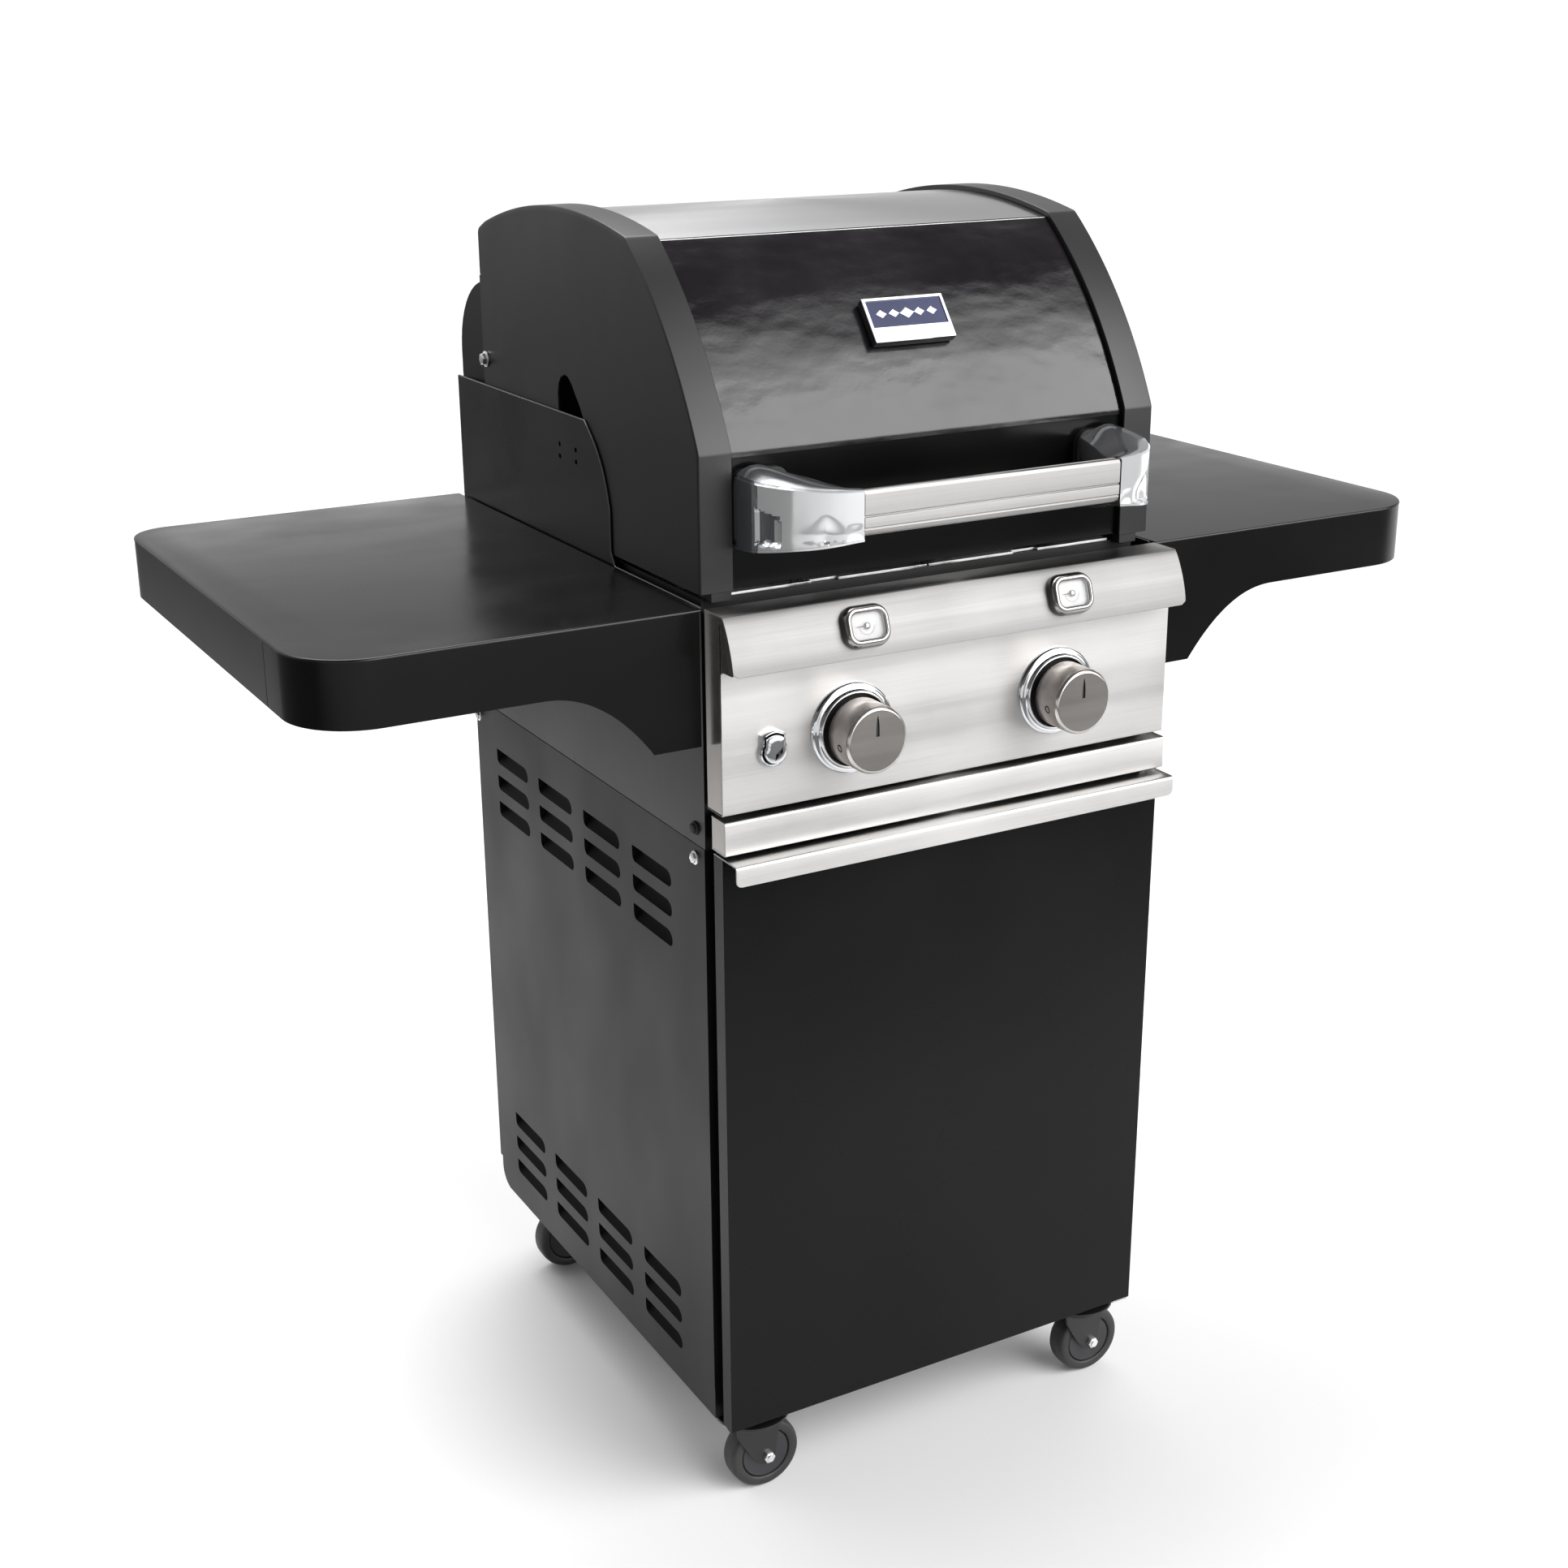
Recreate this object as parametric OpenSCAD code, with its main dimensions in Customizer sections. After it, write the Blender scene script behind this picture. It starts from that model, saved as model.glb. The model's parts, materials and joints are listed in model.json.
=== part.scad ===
// Two-burner gas barbecue grill on a cabinet cart with side shelves.
// Millimetres, +Z up, origin on the floor under the middle of the grill.

/* [Cabinet] */
// width over the cabinet side panels
cart_w = 491; // [486:1:496]
// height of the shelf tops and of the cooking deck
deck_z = 925; // [920:1:930]
// sheet metal thickness
sheet = 1.5; // [1.2:0.1:1.6]
// height of the cabinet door opening top
door_top = 699.5; // [699.5:0.1:699.6]

/* [Shelves] */
// width over both side shelves
span_w = 1208; // [1160:2:1240]
// front corner radius of a shelf
shelf_r = 65; // [40:1:80]
// rear corner radius of a shelf
shelf_rear_r = 42; // [25:1:60]
// depth of the shelf edge band
band_h = 60; // [50:1:64]

/* [Lid] */
// width of the lid end caps on the front
cap_band = 33; // [31:1:36]
// outward bow of the lid front
front_bow = 13; // [10:1:15]
// rise of the lid roof
roof_bow = 21; // [16:1:22]

/* [Controls] */
// distance of each knob from the centre line
knob_x = 112.5; // [108:0.5:118]
// knob radius
knob_r = 31.5; // [28:0.5:33]
// height of the knob axis
knob_z = 803.5; // [802:0.5:805]

/* [Casters] */
// wheel radius
wheel_r = 38; // [35:0.5:38]
// wheel width
wheel_w = 24; // [20:1:26]
// distance from swivel axis to wheel axle
trail = 10; // [8:1:14]

/* [Louvres] */
// louvre length
louvre_l = 84; // [70:1:88]
// louvre height
louvre_h = 16; // [13:1:18]

/* [Hidden] */
$fn = 64;
// distance of the door face in front of the origin
front_y = -265;
half_w = cart_w / 2;
in_w = half_w - sheet;
shelf_half = span_w / 2;
cap_x = 243.4;
cap_in = cap_x - cap_band;
skin_x = cap_in - 1.5;
hinge_y = 501;
hinge_z = 1079;
hinge_r = 4;
run_fit = 0.06;
lid_base = deck_z + 9.5;
crease_low = [34.5, 1056];
crease_high = [167, 1227];
roof_end = [491, 1216];
caster_x = 202;
caster_y1 = 36.5;
caster_y2 = 514;
door_pin_x = 232;
door_pin_y = 8.5;
gauge_x = 111;
igniter_x = -195;
igniter_z = 799;
burner_x = 110;

// ---- helpers ----

// shift so that y = 0 inside a part is the door face
module placed() { translate([0, front_y, 0]) children(); }

// the left version as drawn, or its mirror image on the right
module on_side(s) {
  if (s < 0) children();
  else mirror([1, 0, 0]) children();
}

// outline in y,z drawn along x from x0
module along_x(x0, w) {
  translate([x0, 0, 0]) rotate([90, 0, 90]) linear_extrude(height = w) children();
}

// outline in x,z drawn along y from y0
module along_y(y0, d) {
  translate([0, y0 + d, 0]) rotate([90, 0, 0]) linear_extrude(height = d) children();
}

// box from its low corner and size
module block(x, y, z, w, d, h) { translate([x, y, z]) cube([w, d, h]); }

// cylinder along x, y or z from a start point
module rod_x(p, r, l) { translate(p) rotate([0, 90, 0]) cylinder(r = r, h = l); }
module rod_y(p, r, l) { translate(p) rotate([-90, 0, 0]) cylinder(r = r, h = l); }
module rod_z(p, r, l) { translate(p) cylinder(r = r, h = l); }

// rounded rectangle, centred
module rrect(w, h, r) {
  square([w - 2 * r, h], center = true);
  square([w, h - 2 * r], center = true);
  for (sx = [-1, 1]) {
    for (sy = [-1, 1]) {
      translate([sx * (w / 2 - r), sy * (h / 2 - r)]) circle(r = r);
    }
  }
}

// points of an arc
function arc(cx, cy, r, a0, a1, n) =
  [for (i = [0:n]) let(a = a0 + (a1 - a0) * i / n) [cx + r * cos(a), cy + r * sin(a)]];

// points of a bowed line from a to b, bow to the left of travel
function bowed(a, b, s, n) =
  [for (i = [0:n]) let(t = i / n, d = b - a, l = norm(d))
    a + d * t + [-d[1], d[0]] / l * (4 * s * t * (1 - t))];

function side_normal(a, b) = let(d = b - a, l = norm(d)) [d[1] / l, -d[0] / l];

// path moved to the right of travel by d
function shifted(p, d) =
  [for (i = [0:len(p) - 1])
    let(a = max(i - 1, 0), b = min(i, len(p) - 2),
        n0 = side_normal(p[a], p[a + 1]), n1 = side_normal(p[b], p[b + 1]))
    p[i] + (n0 + n1) * (d / (1 + n0 * n1))];

function back_to_front(p) = [for (i = [len(p) - 1:-1:0]) p[i]];

// strip between two offsets of a path
module strip(p, d0, d1) { polygon(concat(shifted(p, d0), back_to_front(shifted(p, d1)))); }

// ---- cabinet ----

function pan_path(i) = concat(
  [[31.7 + i, 94.5 + i]],
  arc(551, 117.5, 23 - i, -90, 0, 8),
  [[574 - i, 129.1], [31.7 + i, 129.1]]);

module base_pan() {
  color([0.10, 0.10, 0.10]) difference() {
    along_x(-half_w + 0.5, cart_w - 1) polygon(pan_path(0));
    along_x(-half_w + 0.5 + sheet, cart_w - 1 - 2 * sheet)
      polygon(concat(
        [[31.7 + sheet, 94.5 + sheet]],
        arc(551, 117.5, 23 - sheet, -90, 0, 8),
        [[574 - sheet, 140], [31.7 + sheet, 140]]));
  }
}

louvre_pitch_y = 112.8;
louvre_pitch_z = 30.4;

module louvre_slots(z0) {
  for (c = [0:3]) {
    for (r = [0:2]) {
      block(-half_w - 1, 101 + c * louvre_pitch_y, z0 + r * louvre_pitch_z, sheet + 2,
            louvre_l, louvre_h);
    }
  }
}

module louvre_flaps(z0) {
  for (c = [0:3]) {
    for (r = [0:2]) {
      along_y(101 + c * louvre_pitch_y, louvre_l) translate([0, z0 + r * louvre_pitch_z])
        polygon([[-half_w, -1], [-half_w + 1.4, -1], [-half_w + 10.4, louvre_h - 2],
                 [-half_w + 9, louvre_h - 2], [-half_w, 1]]);
    }
  }
}

fold_w = 12;

module side_panel(s) {
  color([0.12, 0.115, 0.115]) on_side(s) {
    difference() {
      union() {
        block(-half_w, 31.6, 129.5, sheet, 546.4, 569.5);
        block(-half_w, 31.6, 129.5, fold_w, sheet, 569.5);
        block(-half_w, 578 - sheet, 129.5, fold_w, sheet, 569.5);
      }
      louvre_slots(133);
      louvre_slots(577);
    }
    louvre_flaps(133);
    louvre_flaps(577);
  }
}

module rear_panel() {
  color([0.12, 0.12, 0.12]) difference() {
    block(-half_w + 8, 574.4, 129.5, cart_w - 16, sheet, 569.5);
    block(-100, 570, 270, 200, 10, 300);
  }
}

rail_x = half_w - 10;

module front_rail() {
  color([0.12, 0.12, 0.12]) {
    block(-rail_x, 31.8 + sheet, 690, 2 * rail_x, sheet, 12);
    block(-rail_x, 31.8 + sheet, 700.4, 2 * rail_x, 20, sheet);
    for (s = [-1, 1]) {
      on_side(s) block(-rail_x, 31.8 + sheet, 701, 10, sheet, 50);
    }
  }
}

end_front = concat([[30, 700], [30, 924]], [[204, 924], [212, 937], [212, 977]],
  bowed([212, 977], [262, 1052.5], 9, 8));

rot_holes = [[283, 1021], [320, 1021], [283, 1009.5], [320, 1009.5]];

module end_panel(s) {
  color([0.12, 0.115, 0.115]) on_side(s) difference() {
    union() {
      along_x(-half_w, sheet) polygon(concat(end_front, [[579, 1052.5], [579, 700]]));
      block(-half_w, 30, 700, 24, sheet, 220);
      block(-half_w, 579 - sheet, 700, 1.6, sheet, 352.5);
      block(-half_w, 30, 700, 9.5, 549, sheet);
    }
    for (q = rot_holes) {
      rod_x([-half_w - 1, q[0], q[1]], 2.6, 4);
    }
    block(-half_w - 1, 29, 740, 26, 1, 200);
  }
}

module cart_bolts() {
  color([0.7, 0.7, 0.7]) for (s = [-1, 1]) {
    on_side(s) {
      for (q = [[570, 680], [49, 715], [50, 686]]) {
        rod_x([-half_w - 4, q[0], q[1]], 6, 4);
      }
    }
  }
}

// ---- firebox and burner train ----

box_x = 236;
box_y0 = 48;
box_y1 = 505;
box_z0 = 745;

module firebox() {
  color([0.16, 0.16, 0.16]) {
    difference() {
      block(-box_x, box_y0, box_z0, 2 * box_x, box_y1 - box_y0, 927 - box_z0);
      block(-box_x + sheet, box_y0 + sheet, box_z0 + sheet, 2 * (box_x - sheet),
            box_y1 - box_y0 - 2 * sheet, 200);
      block(-90, 200, box_z0 - 1, 180, 160, 4);
      for (s = [-1, 1]) {
        rod_y([s * burner_x, box_y0 - 1, knob_z], 11, 4);
      }
    }
    for (s = [-1, 1]) {
      on_side(s) difference() {
        union() {
          along_x(-239, 3) polygon([[470, 900], [517, 900], [517, 1090], [488, 1090], [470, 1040]]);
          block(-237, 470, 900, 1.5, 47, 26);
        }
        rod_x([-240, hinge_y, hinge_z], hinge_r, 5);
      }
    }
  }
}

shield_r = 77;

module rear_shield() {
  p = concat([[hinge_y + shield_r, 701]], arc(hinge_y, hinge_z, shield_r, 0, 82, 10));
  color([0.13, 0.13, 0.13]) {
    along_x(-240, 480) strip(p, -sheet, 0);
    along_x(-235.3, 470.6) polygon([[505.2, 905], [576.4, 905], [576.4, 903.5], [505.2, 903.5]]);
  }
}

module burners() {
  color([0.62, 0.62, 0.6]) for (s = [-1, 1]) {
    difference() {
      union() {
        rod_y([s * burner_x, 40, knob_z], 10, 40);
        rod_y([s * burner_x, 78, knob_z], 14, 372);
      }
      rod_y([s * burner_x, 39, knob_z], 8.5, 40);
      rod_y([s * burner_x, 78.9, knob_z], 12.5, 369);
      for (k = [0:14]) {
        block(s * burner_x - 20, 110 + k * 22, knob_z + 4, 40, 3, 3);
      }
    }
    block(s * burner_x - 12, 440, box_z0 + sheet, 24, 6, knob_z - box_z0 - sheet - 13.4);
    block(s * burner_x - 12, 90, box_z0 + sheet, 24, 6, knob_z - box_z0 - sheet - 13.4);
  }
}

module emitters() {
  color([0.72, 0.72, 0.7]) for (s = [-1, 1]) {
    on_side(s) {
      difference() {
        block(-222, 61, 893, 221.5, 420, 33);
        block(-222 + sheet, 61 + sheet, 896, 221.5 - 2 * sheet, 420 - 2 * sheet, 40);
        block(-124, 60, 923.6, 28, 4, 4);
        for (i = [0:7]) {
          for (j = [0:11]) {
            block(-210 + i * 26, 84 + j * 33, 892, 14, 8, 5);
          }
        }
      }
      block(-234.4, 70, 893, 12.6, 10, 2);
      block(-234.4, 460, 893, 12.6, 10, 2);
    }
  }
}

module grates() {
  color([0.55, 0.55, 0.54]) for (s = [-1, 1]) {
    on_side(s) {
      for (i = [0:14]) {
        block(-218.5 + i * 15, 66, 904, 4.6, 408, 20);
      }
      for (j = [0:3]) {
        block(-218.5, 80 + j * 125, 899, 214.6, 5, 8);
      }
    }
  }
}

rack_z = 1085;
rack_y1 = 330;
rack_y2 = 468;

module warming_rack() {
  color([0.75, 0.75, 0.74]) {
    for (y = [rack_y1, rack_y2]) {
      rod_x([-200, y, rack_z], 4, 400);
    }
    for (i = [0:18]) {
      rod_y([-189 + i * 21, rack_y1, rack_z + 2], 2, rack_y2 - rack_y1);
    }
  }
}

module rack_legs() {
  color([0.75, 0.75, 0.74]) for (x = [-196, 196]) {
    for (y = [rack_y1, rack_y2]) {
      rod_z([x, y, 925], 3.5, rack_z - 929.1);
      block(x - 3.5, y - 5.5, 924.1, 7, 11, 3);
    }
  }
}

inlet_x = 203;

module manifold() {
  color([0.55, 0.56, 0.58]) {
    difference() {
      rod_x([-140, 30, 780], 8, 337);
      rod_x([-136, 30, 780], 6, 329);
    }
    difference() {
      union() {
        rod_z([inlet_x, 38, 722], 6, 60);
        rod_z([inlet_x, 38, 722], 10.5, 16);
        block(inlet_x - 10, 26, 771, 20, 18, 18);
      }
      rod_z([inlet_x, 38, 720], 4, 46);
    }
  }
}

stem_r = 4;
sleeve_r = 6.5;

module valve_bodies() {
  color([0.72, 0.58, 0.32]) for (s = [-1, 1]) {
    difference() {
      union() {
        block(s * knob_x - 14, 14, 788, 28, 20, 30);
        rod_y([s * knob_x, 5, knob_z], 10, 10);
      }
      rod_y([s * knob_x, 4, knob_z], sleeve_r + run_fit, 26);
    }
    rod_y([s * burner_x, 33.9, knob_z], 5, 5);
  }
}

module spark_module() {
  color([0.15, 0.15, 0.15]) {
    difference() {
      union() {
        block(igniter_x - 13.5, 6, igniter_z - 14.5, 27, 22, 29);
        rod_y([igniter_x, 2, igniter_z], 8, 5);
      }
      rod_y([igniter_x, 1, igniter_z], 5.06, 17);
    }
    rod_z([igniter_x, 18, igniter_z + 14], 2, 12);
  }
}

// ---- control panel and hood ----

module control_panel() {
  color([0.80, 0.79, 0.77]) difference() {
    union() {
      block(-244.4, -3.5, 740, 488.8, sheet, 178);
      block(-244.4, -3.5, 740, 488.8, 29.5, sheet);
      block(-244.4, -3.5, 740, sheet, 29.5, 178);
      block(244.4 - sheet, -3.5, 740, sheet, 29.5, 178);
    }
    for (s = [-1, 1]) {
      rod_y([s * knob_x, -5, knob_z], 12, 5);
    }
    rod_y([igniter_x, -5, igniter_z], 9, 5);
  }
}

hood_path = concat([[24, deck_z], [-7, deck_z]],
  bowed([-9.5, deck_z - 1], [-28.5, deck_z - 50], -3, 10));

module hood() {
  color([0.82, 0.81, 0.79]) {
    difference() {
      along_x(-245.4, 490.8) strip(hood_path, -sheet, 0);
      for (s = [-1, 1]) {
        translate([s * gauge_x, -21.5, 901.5]) rotate([70.7, 0, 0])
          translate([0, 0, -12]) cylinder(r = 4.5, h = 24);
      }
    }
    block(-244, -3.4, 918.4, 488, sheet, 5.5);
  }
}

module knob_bezels() {
  color([0.85, 0.85, 0.87]) for (s = [-1, 1]) {
    translate([s * knob_x, -3.5, knob_z]) rotate([90, 0, 0]) rotate_extrude()
      polygon([[13, 0], [43, 0], [43, 1.5], [39.5, 5.5], [36, 6.5], [34.5, 5.5], [34.5, 1.8],
               [13, 1.8]]);
  }
}

module gauge_at(s) {
  translate([s * gauge_x, -21.5, 901.5]) rotate([70.7, 0, 0]) children();
}

module gauge_bezels() {
  color([0.5, 0.5, 0.52]) for (s = [-1, 1]) {
    gauge_at(s) {
      difference() {
        union() {
          translate([0, 0, 2]) linear_extrude(height = 4) rrect(50, 45, 13);
          translate([0, 0, 6]) linear_extrude(height = 5) rrect(46, 41, 11);
        }
        translate([0, 0, 4]) linear_extrude(height = 8) rrect(40, 33.5, 7);
        translate([0, 0, 1]) cylinder(r = 2.2, h = 6);
      }
      translate([0, 0, -10]) difference() {
        cylinder(r = 4.4, h = 12.1);
        translate([0, 0, 9]) cylinder(r = 2.2, h = 6);
      }
    }
  }
}

module gauge_dials() {
  color([0.95, 0.95, 0.95]) for (s = [-1, 1]) {
    gauge_at(s) translate([0, 0, 4]) linear_extrude(height = 0.8) difference() {
      rrect(39.8, 33.3, 6.9);
      circle(r = 2.2);
    }
  }
}

module gauge_lenses() {
  color([0.85, 0.9, 0.95, 0.4]) for (s = [-1, 1]) {
    gauge_at(s) translate([0, 0, 8.6]) linear_extrude(height = 1.2) rrect(39.8, 33.3, 6.9);
  }
}

module needle(s) {
  color([0.25, 0.1, 0.1]) gauge_at(s) {
    translate([0, 0, 1.2]) cylinder(r = 2.1, h = 5.6);
    translate([-16, -0.6, 5.6]) cube([16, 1.2, 0.8]);
    translate([0, 0, 5.4]) cylinder(r = 3, h = 1.8);
  }
}

module igniter_bezel() {
  color([0.8, 0.8, 0.82]) translate([igniter_x, -3.5, igniter_z]) rotate([90, 0, 0]) difference() {
    union() {
      linear_extrude(height = 3) rrect(31, 36, 12);
      linear_extrude(height = 6) rrect(29, 34, 11);
    }
    translate([0, 0, 2]) linear_extrude(height = 6) rrect(24, 29, 8.5);
    translate([0, 0, -1]) cylinder(r = 6, h = 5);
  }
}

module igniter_button() {
  color([0.85, 0.85, 0.87]) translate([igniter_x, 0, igniter_z]) rotate([90, 0, 0]) {
    translate([0, 0, 9.2]) linear_extrude(height = 4.3) rrect(23, 28, 8);
    translate([0, 0, -9]) cylinder(r = 5, h = 18.4);
  }
}

// ---- drip tray ----

module tray_rails() {
  color([0.6, 0.6, 0.6]) for (s = [-1, 1]) {
    on_side(s) {
      block(-206, 60, 703, sheet, 440, 42);
      block(-206, 60, 703, 12, 440, sheet);
      block(-206, 60, 738, 16, 440, sheet);
    }
  }
}

module drip_pan() {
  color([0.65, 0.65, 0.64]) {
    difference() {
      block(-190, 20, 706, 380, 470, 29);
      block(-190 + sheet, 20 + sheet, 706 + sheet, 380 - 2 * sheet, 470 - 2 * sheet, 40);
    }
    for (s = [-1, 1]) {
      on_side(s) block(-200, 60, 705.5, 11, 430, sheet);
    }
  }
}

module drip_front() {
  color([0.80, 0.79, 0.77]) difference() {
    block(-244.4, -7.4, 704.5, 488.8, 27.4, 32);
    block(-244.4 + sheet, -7.4 + sheet, 704.5 + sheet, 488.8 - 2 * sheet, 40, 32 - 2 * sheet);
  }
  color([0.80, 0.79, 0.77]) for (s = [-1, 1]) {
    on_side(s) block(-189, -5.9, 708, sheet, 25.9, 24);
  }
}

// ---- door ----

door_x = 243.7;

module door_panel() {
  color([0.06, 0.06, 0.062]) difference() {
    union() {
      difference() {
        block(-door_x, 0, 96, 2 * door_x, 17, door_top - 96);
        block(-door_x + sheet, sheet, 96 + sheet, 2 * (door_x - sheet), 30,
              door_top - 96 - 2 * sheet);
      }
      rod_z([door_pin_x, door_pin_y, 96], 6.5, 8);
      rod_z([door_pin_x, door_pin_y, door_top - 8], 6.5, 8);
    }
    rod_z([door_pin_x, door_pin_y, 90], 3 + run_fit, 20);
    rod_z([door_pin_x, door_pin_y, door_top - 12], 3 + run_fit, 20);
  }
}

module door_handle() {
  color([0.82, 0.81, 0.79]) difference() {
    union() {
      block(-door_x, -26, door_top, 2 * door_x, 43, sheet);
      block(-door_x, -26, 681, 2 * door_x, sheet, door_top - 681 + 1);
    }
    rod_z([door_pin_x, door_pin_y, 690], 3 + run_fit, 20);
  }
}

module door_brackets() {
  color([0.3, 0.3, 0.3]) {
    block(224, 2, 92.8, 19, 60, 1.6);
    rod_z([door_pin_x, door_pin_y, 94], 3, 9);
    block(224, 2, 701.9, 19, 27.8, 1.6);
    rod_z([door_pin_x, door_pin_y, 692], 3, 10);
  }
}

// ---- shelves ----

gusset = concat([[-shelf_half + shelf_r, deck_z - band_h]],
  [[-400, deck_z - band_h]],
  [for (i = [1:10]) let(t = i / 10)
    [-400 + 104 * t, deck_z - band_h - 65 * pow(t, 2.4)]],
  [[-half_w - 4, 800]]);

module shelf_plan(i) {
  polygon(concat(
    [[-half_w - 2.5, 24.5 + i]],
    [[-half_w - 2.5, 590 - i]],
    arc(-shelf_half + shelf_rear_r, 590 - shelf_rear_r, shelf_rear_r - i, 90, 180, 12),
    arc(-shelf_half + shelf_r, 24.5 + shelf_r, shelf_r - i, 180, 270, 16)));
}

module shelf(s) {
  color([0.09, 0.09, 0.09]) on_side(s) {
    translate([0, 0, deck_z - sheet]) linear_extrude(height = sheet) shelf_plan(0);
    difference() {
      translate([0, 0, deck_z - band_h]) linear_extrude(height = band_h - 1) difference() {
        shelf_plan(0);
        shelf_plan(sheet);
      }
      block(-700, 20, 800, 700, 108.4, 123.5);
    }
    block(-half_w - 3.5, 60, deck_z - band_h, sheet, 520, band_h - 1);
  }
}

module fascia(s) {
  color([0.09, 0.09, 0.09]) on_side(s) {
    along_y(24.5, sheet) polygon(concat(
      [[-half_w - 4, deck_z - sheet], [-shelf_half + shelf_r, deck_z - sheet]], gusset));
    difference() {
      translate([0, 0, deck_z - band_h]) linear_extrude(height = band_h - sheet) difference() {
        shelf_plan(0);
        shelf_plan(sheet);
      }
      block(-700, 128, 800, 700, 600, 200);
      block(-shelf_half + shelf_r + 0.01, 20, 800, 600, 200, 200);
    }
  }
}

// ---- casters ----

module caster_plates() {
  color([0.12, 0.12, 0.12]) for (sx = [-1, 1]) {
    for (y = [caster_y1, caster_y2]) {
      rod_z([sx * caster_x, y, 90], 20, 4.5);
      rod_z([sx * caster_x, y, 86.2], 38, 4.3);
      rod_z([sx * caster_x, y, 78.6], 5, 8);
    }
  }
}

module fork(sx, y) {
  color([0.1, 0.1, 0.1]) translate([sx * caster_x, y, 0]) {
    difference() {
      rod_z([0, 0, 79], 30, 6.8);
      rod_z([0, 0, 78], 5 + run_fit, 10);
    }
    for (s = [-1, 1]) {
      along_y(s * (wheel_w / 2 + 2.8) - 1.4, 2.8) {
        polygon([[-20, 80], [22, 80], [trail + 9, wheel_r + 4], [trail + 6, wheel_r - 7],
                 [trail - 6, wheel_r - 7], [-18, 60], [-21, 68]]);
        translate([trail, wheel_r]) circle(r = 9);
      }
    }
    rod_y([trail, -wheel_w / 2 - 8.2, wheel_r], 3.9, wheel_w + 16.4);
    rod_y([trail, -wheel_w / 2 - 9.2, wheel_r], 6, 5);
    rod_y([trail, wheel_w / 2 + 4.2, wheel_r], 6, 5);
  }
}

module wheel(sx, y) {
  color([0.05, 0.05, 0.05]) translate([sx * caster_x + trail, y, wheel_r]) rotate([90, 0, 0])
    rotate_extrude($fn = 96) {
      h = wheel_w / 2;
      polygon(concat(
        [[3.96, -h], [wheel_r - 13, -h], [wheel_r - 12.2, -h + 1.6], [wheel_r - 10.8, -h + 1.6],
         [wheel_r - 10, -h]],
        arc(wheel_r - 5, -h + 5, 5, -90, 0, 5),
        arc(wheel_r - 5, h - 5, 5, 0, 90, 5),
        [[wheel_r - 10, h], [wheel_r - 10.8, h - 1.6], [wheel_r - 12.2, h - 1.6],
         [wheel_r - 13, h], [3.96, h]]));
    }
}

// ---- knobs ----

module knob(s) {
  color([0.55, 0.54, 0.53]) translate([s * knob_x, 0, knob_z]) rotate([90, 0, 0]) {
    difference() {
      rotate_extrude() polygon([[0, 12], [28, 12], [28, 14], [knob_r, 15], [knob_r, 44],
        [knob_r - 2, 46], [0, 46]]);
      translate([0, 18, 47.6]) cube([3, 18, 6], center = true);
    }
    translate([0, 0, -25]) cylinder(r = stem_r, h = 38);
  }
}

module plunger(s) {
  color([0.75, 0.75, 0.76]) translate([s * knob_x, 0, knob_z]) rotate([90, 0, 0])
    difference() {
      translate([0, 0, -19]) cylinder(r = sleeve_r, h = 22);
      translate([0, 0, -20]) cylinder(r = stem_r + run_fit, h = 24);
    }
}

// ---- lid ----

lid_front_y = crease_low[0];
lid_rear = [[509.5, 1208], [509.5, 1163]];
front_curve = bowed(crease_low, crease_high, front_bow, 16);
roof_curve = bowed(crease_high, roof_end, roof_bow, 18);
path_lower = [[lid_front_y, lid_base], [lid_front_y, 1054]];
path_front = concat([[lid_front_y, 1050]], [for (i = [0:15]) front_curve[i]],
  [crease_high + (front_curve[15] - crease_high) * 0.1]);
path_roof = concat(roof_curve, lid_rear);
path_all = concat([[lid_front_y, lid_base]], front_curve,
  [for (i = [1:18]) roof_curve[i]], lid_rear);

// outline of the cap side wall below the rim path
cap_rear = [[509.5, 1045], [324, 1045], [324, 1072], [318, 1083], [307, 1089],
  [296, 1086], [285, 1074], [272, 1061], [266, 1050], [262, 1042], [236, 1012], [224, 975],
  [224, lid_base]];

module lid_cap(s) {
  color([0.13, 0.14, 0.15]) on_side(s) {
    difference() {
      along_x(-cap_x, 2) polygon(concat(path_all, cap_rear));
      rod_x([-cap_x - 1, hinge_y, hinge_z], hinge_r + run_fit, 4);
    }
    along_x(-cap_x, cap_band) strip(path_all, 0, 2);
    along_x(-cap_in - 2, 2) strip(path_all, 0, 5.4);
    along_x(-cap_in, 10) strip(path_all, 3.6, 5.4);
  }
}

module lid_roof() {
  color([0.80, 0.79, 0.77]) along_x(-skin_x, 2 * skin_x) strip(path_roof, 0.4, 1.8);
}

module lid_front() {
  color([0.05, 0.05, 0.06]) along_x(-skin_x, 2 * skin_x) strip(path_front, 0.4, 1.8);
}

module lid_lower() {
  color([0.07, 0.07, 0.07]) along_x(-skin_x, 2 * skin_x) strip(path_lower, 1.9, 3.4);
}

module badge_plate() {
  color([0.75, 0.76, 0.8]) translate([0, 88.5, 1147]) rotate([52.4, 0, 0]) {
    linear_extrude(height = 6) difference() {
      square([86, 45], center = true);
      translate([0, 5]) square([80, 28], center = true);
    }
    linear_extrude(height = 4) translate([0, 5]) square([80.2, 28.2], center = true);
  }
}

bar_half = 140;

module handle_bar() {
  color([0.82, 0.81, 0.80]) difference() {
    translate([-bar_half, -50.5, 1011.5]) rotate([90, 0, 90])
      linear_extrude(height = 2 * bar_half) difference() {
        rrect(19, 39, 4);
        translate([0.4, 0]) rrect(15, 35, 2.5);
        translate([-9.5, -4]) square([1.6, 1.6], center = true);
        translate([-9.5, -14]) square([1.6, 1.6], center = true);
      }
  }
}

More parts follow.
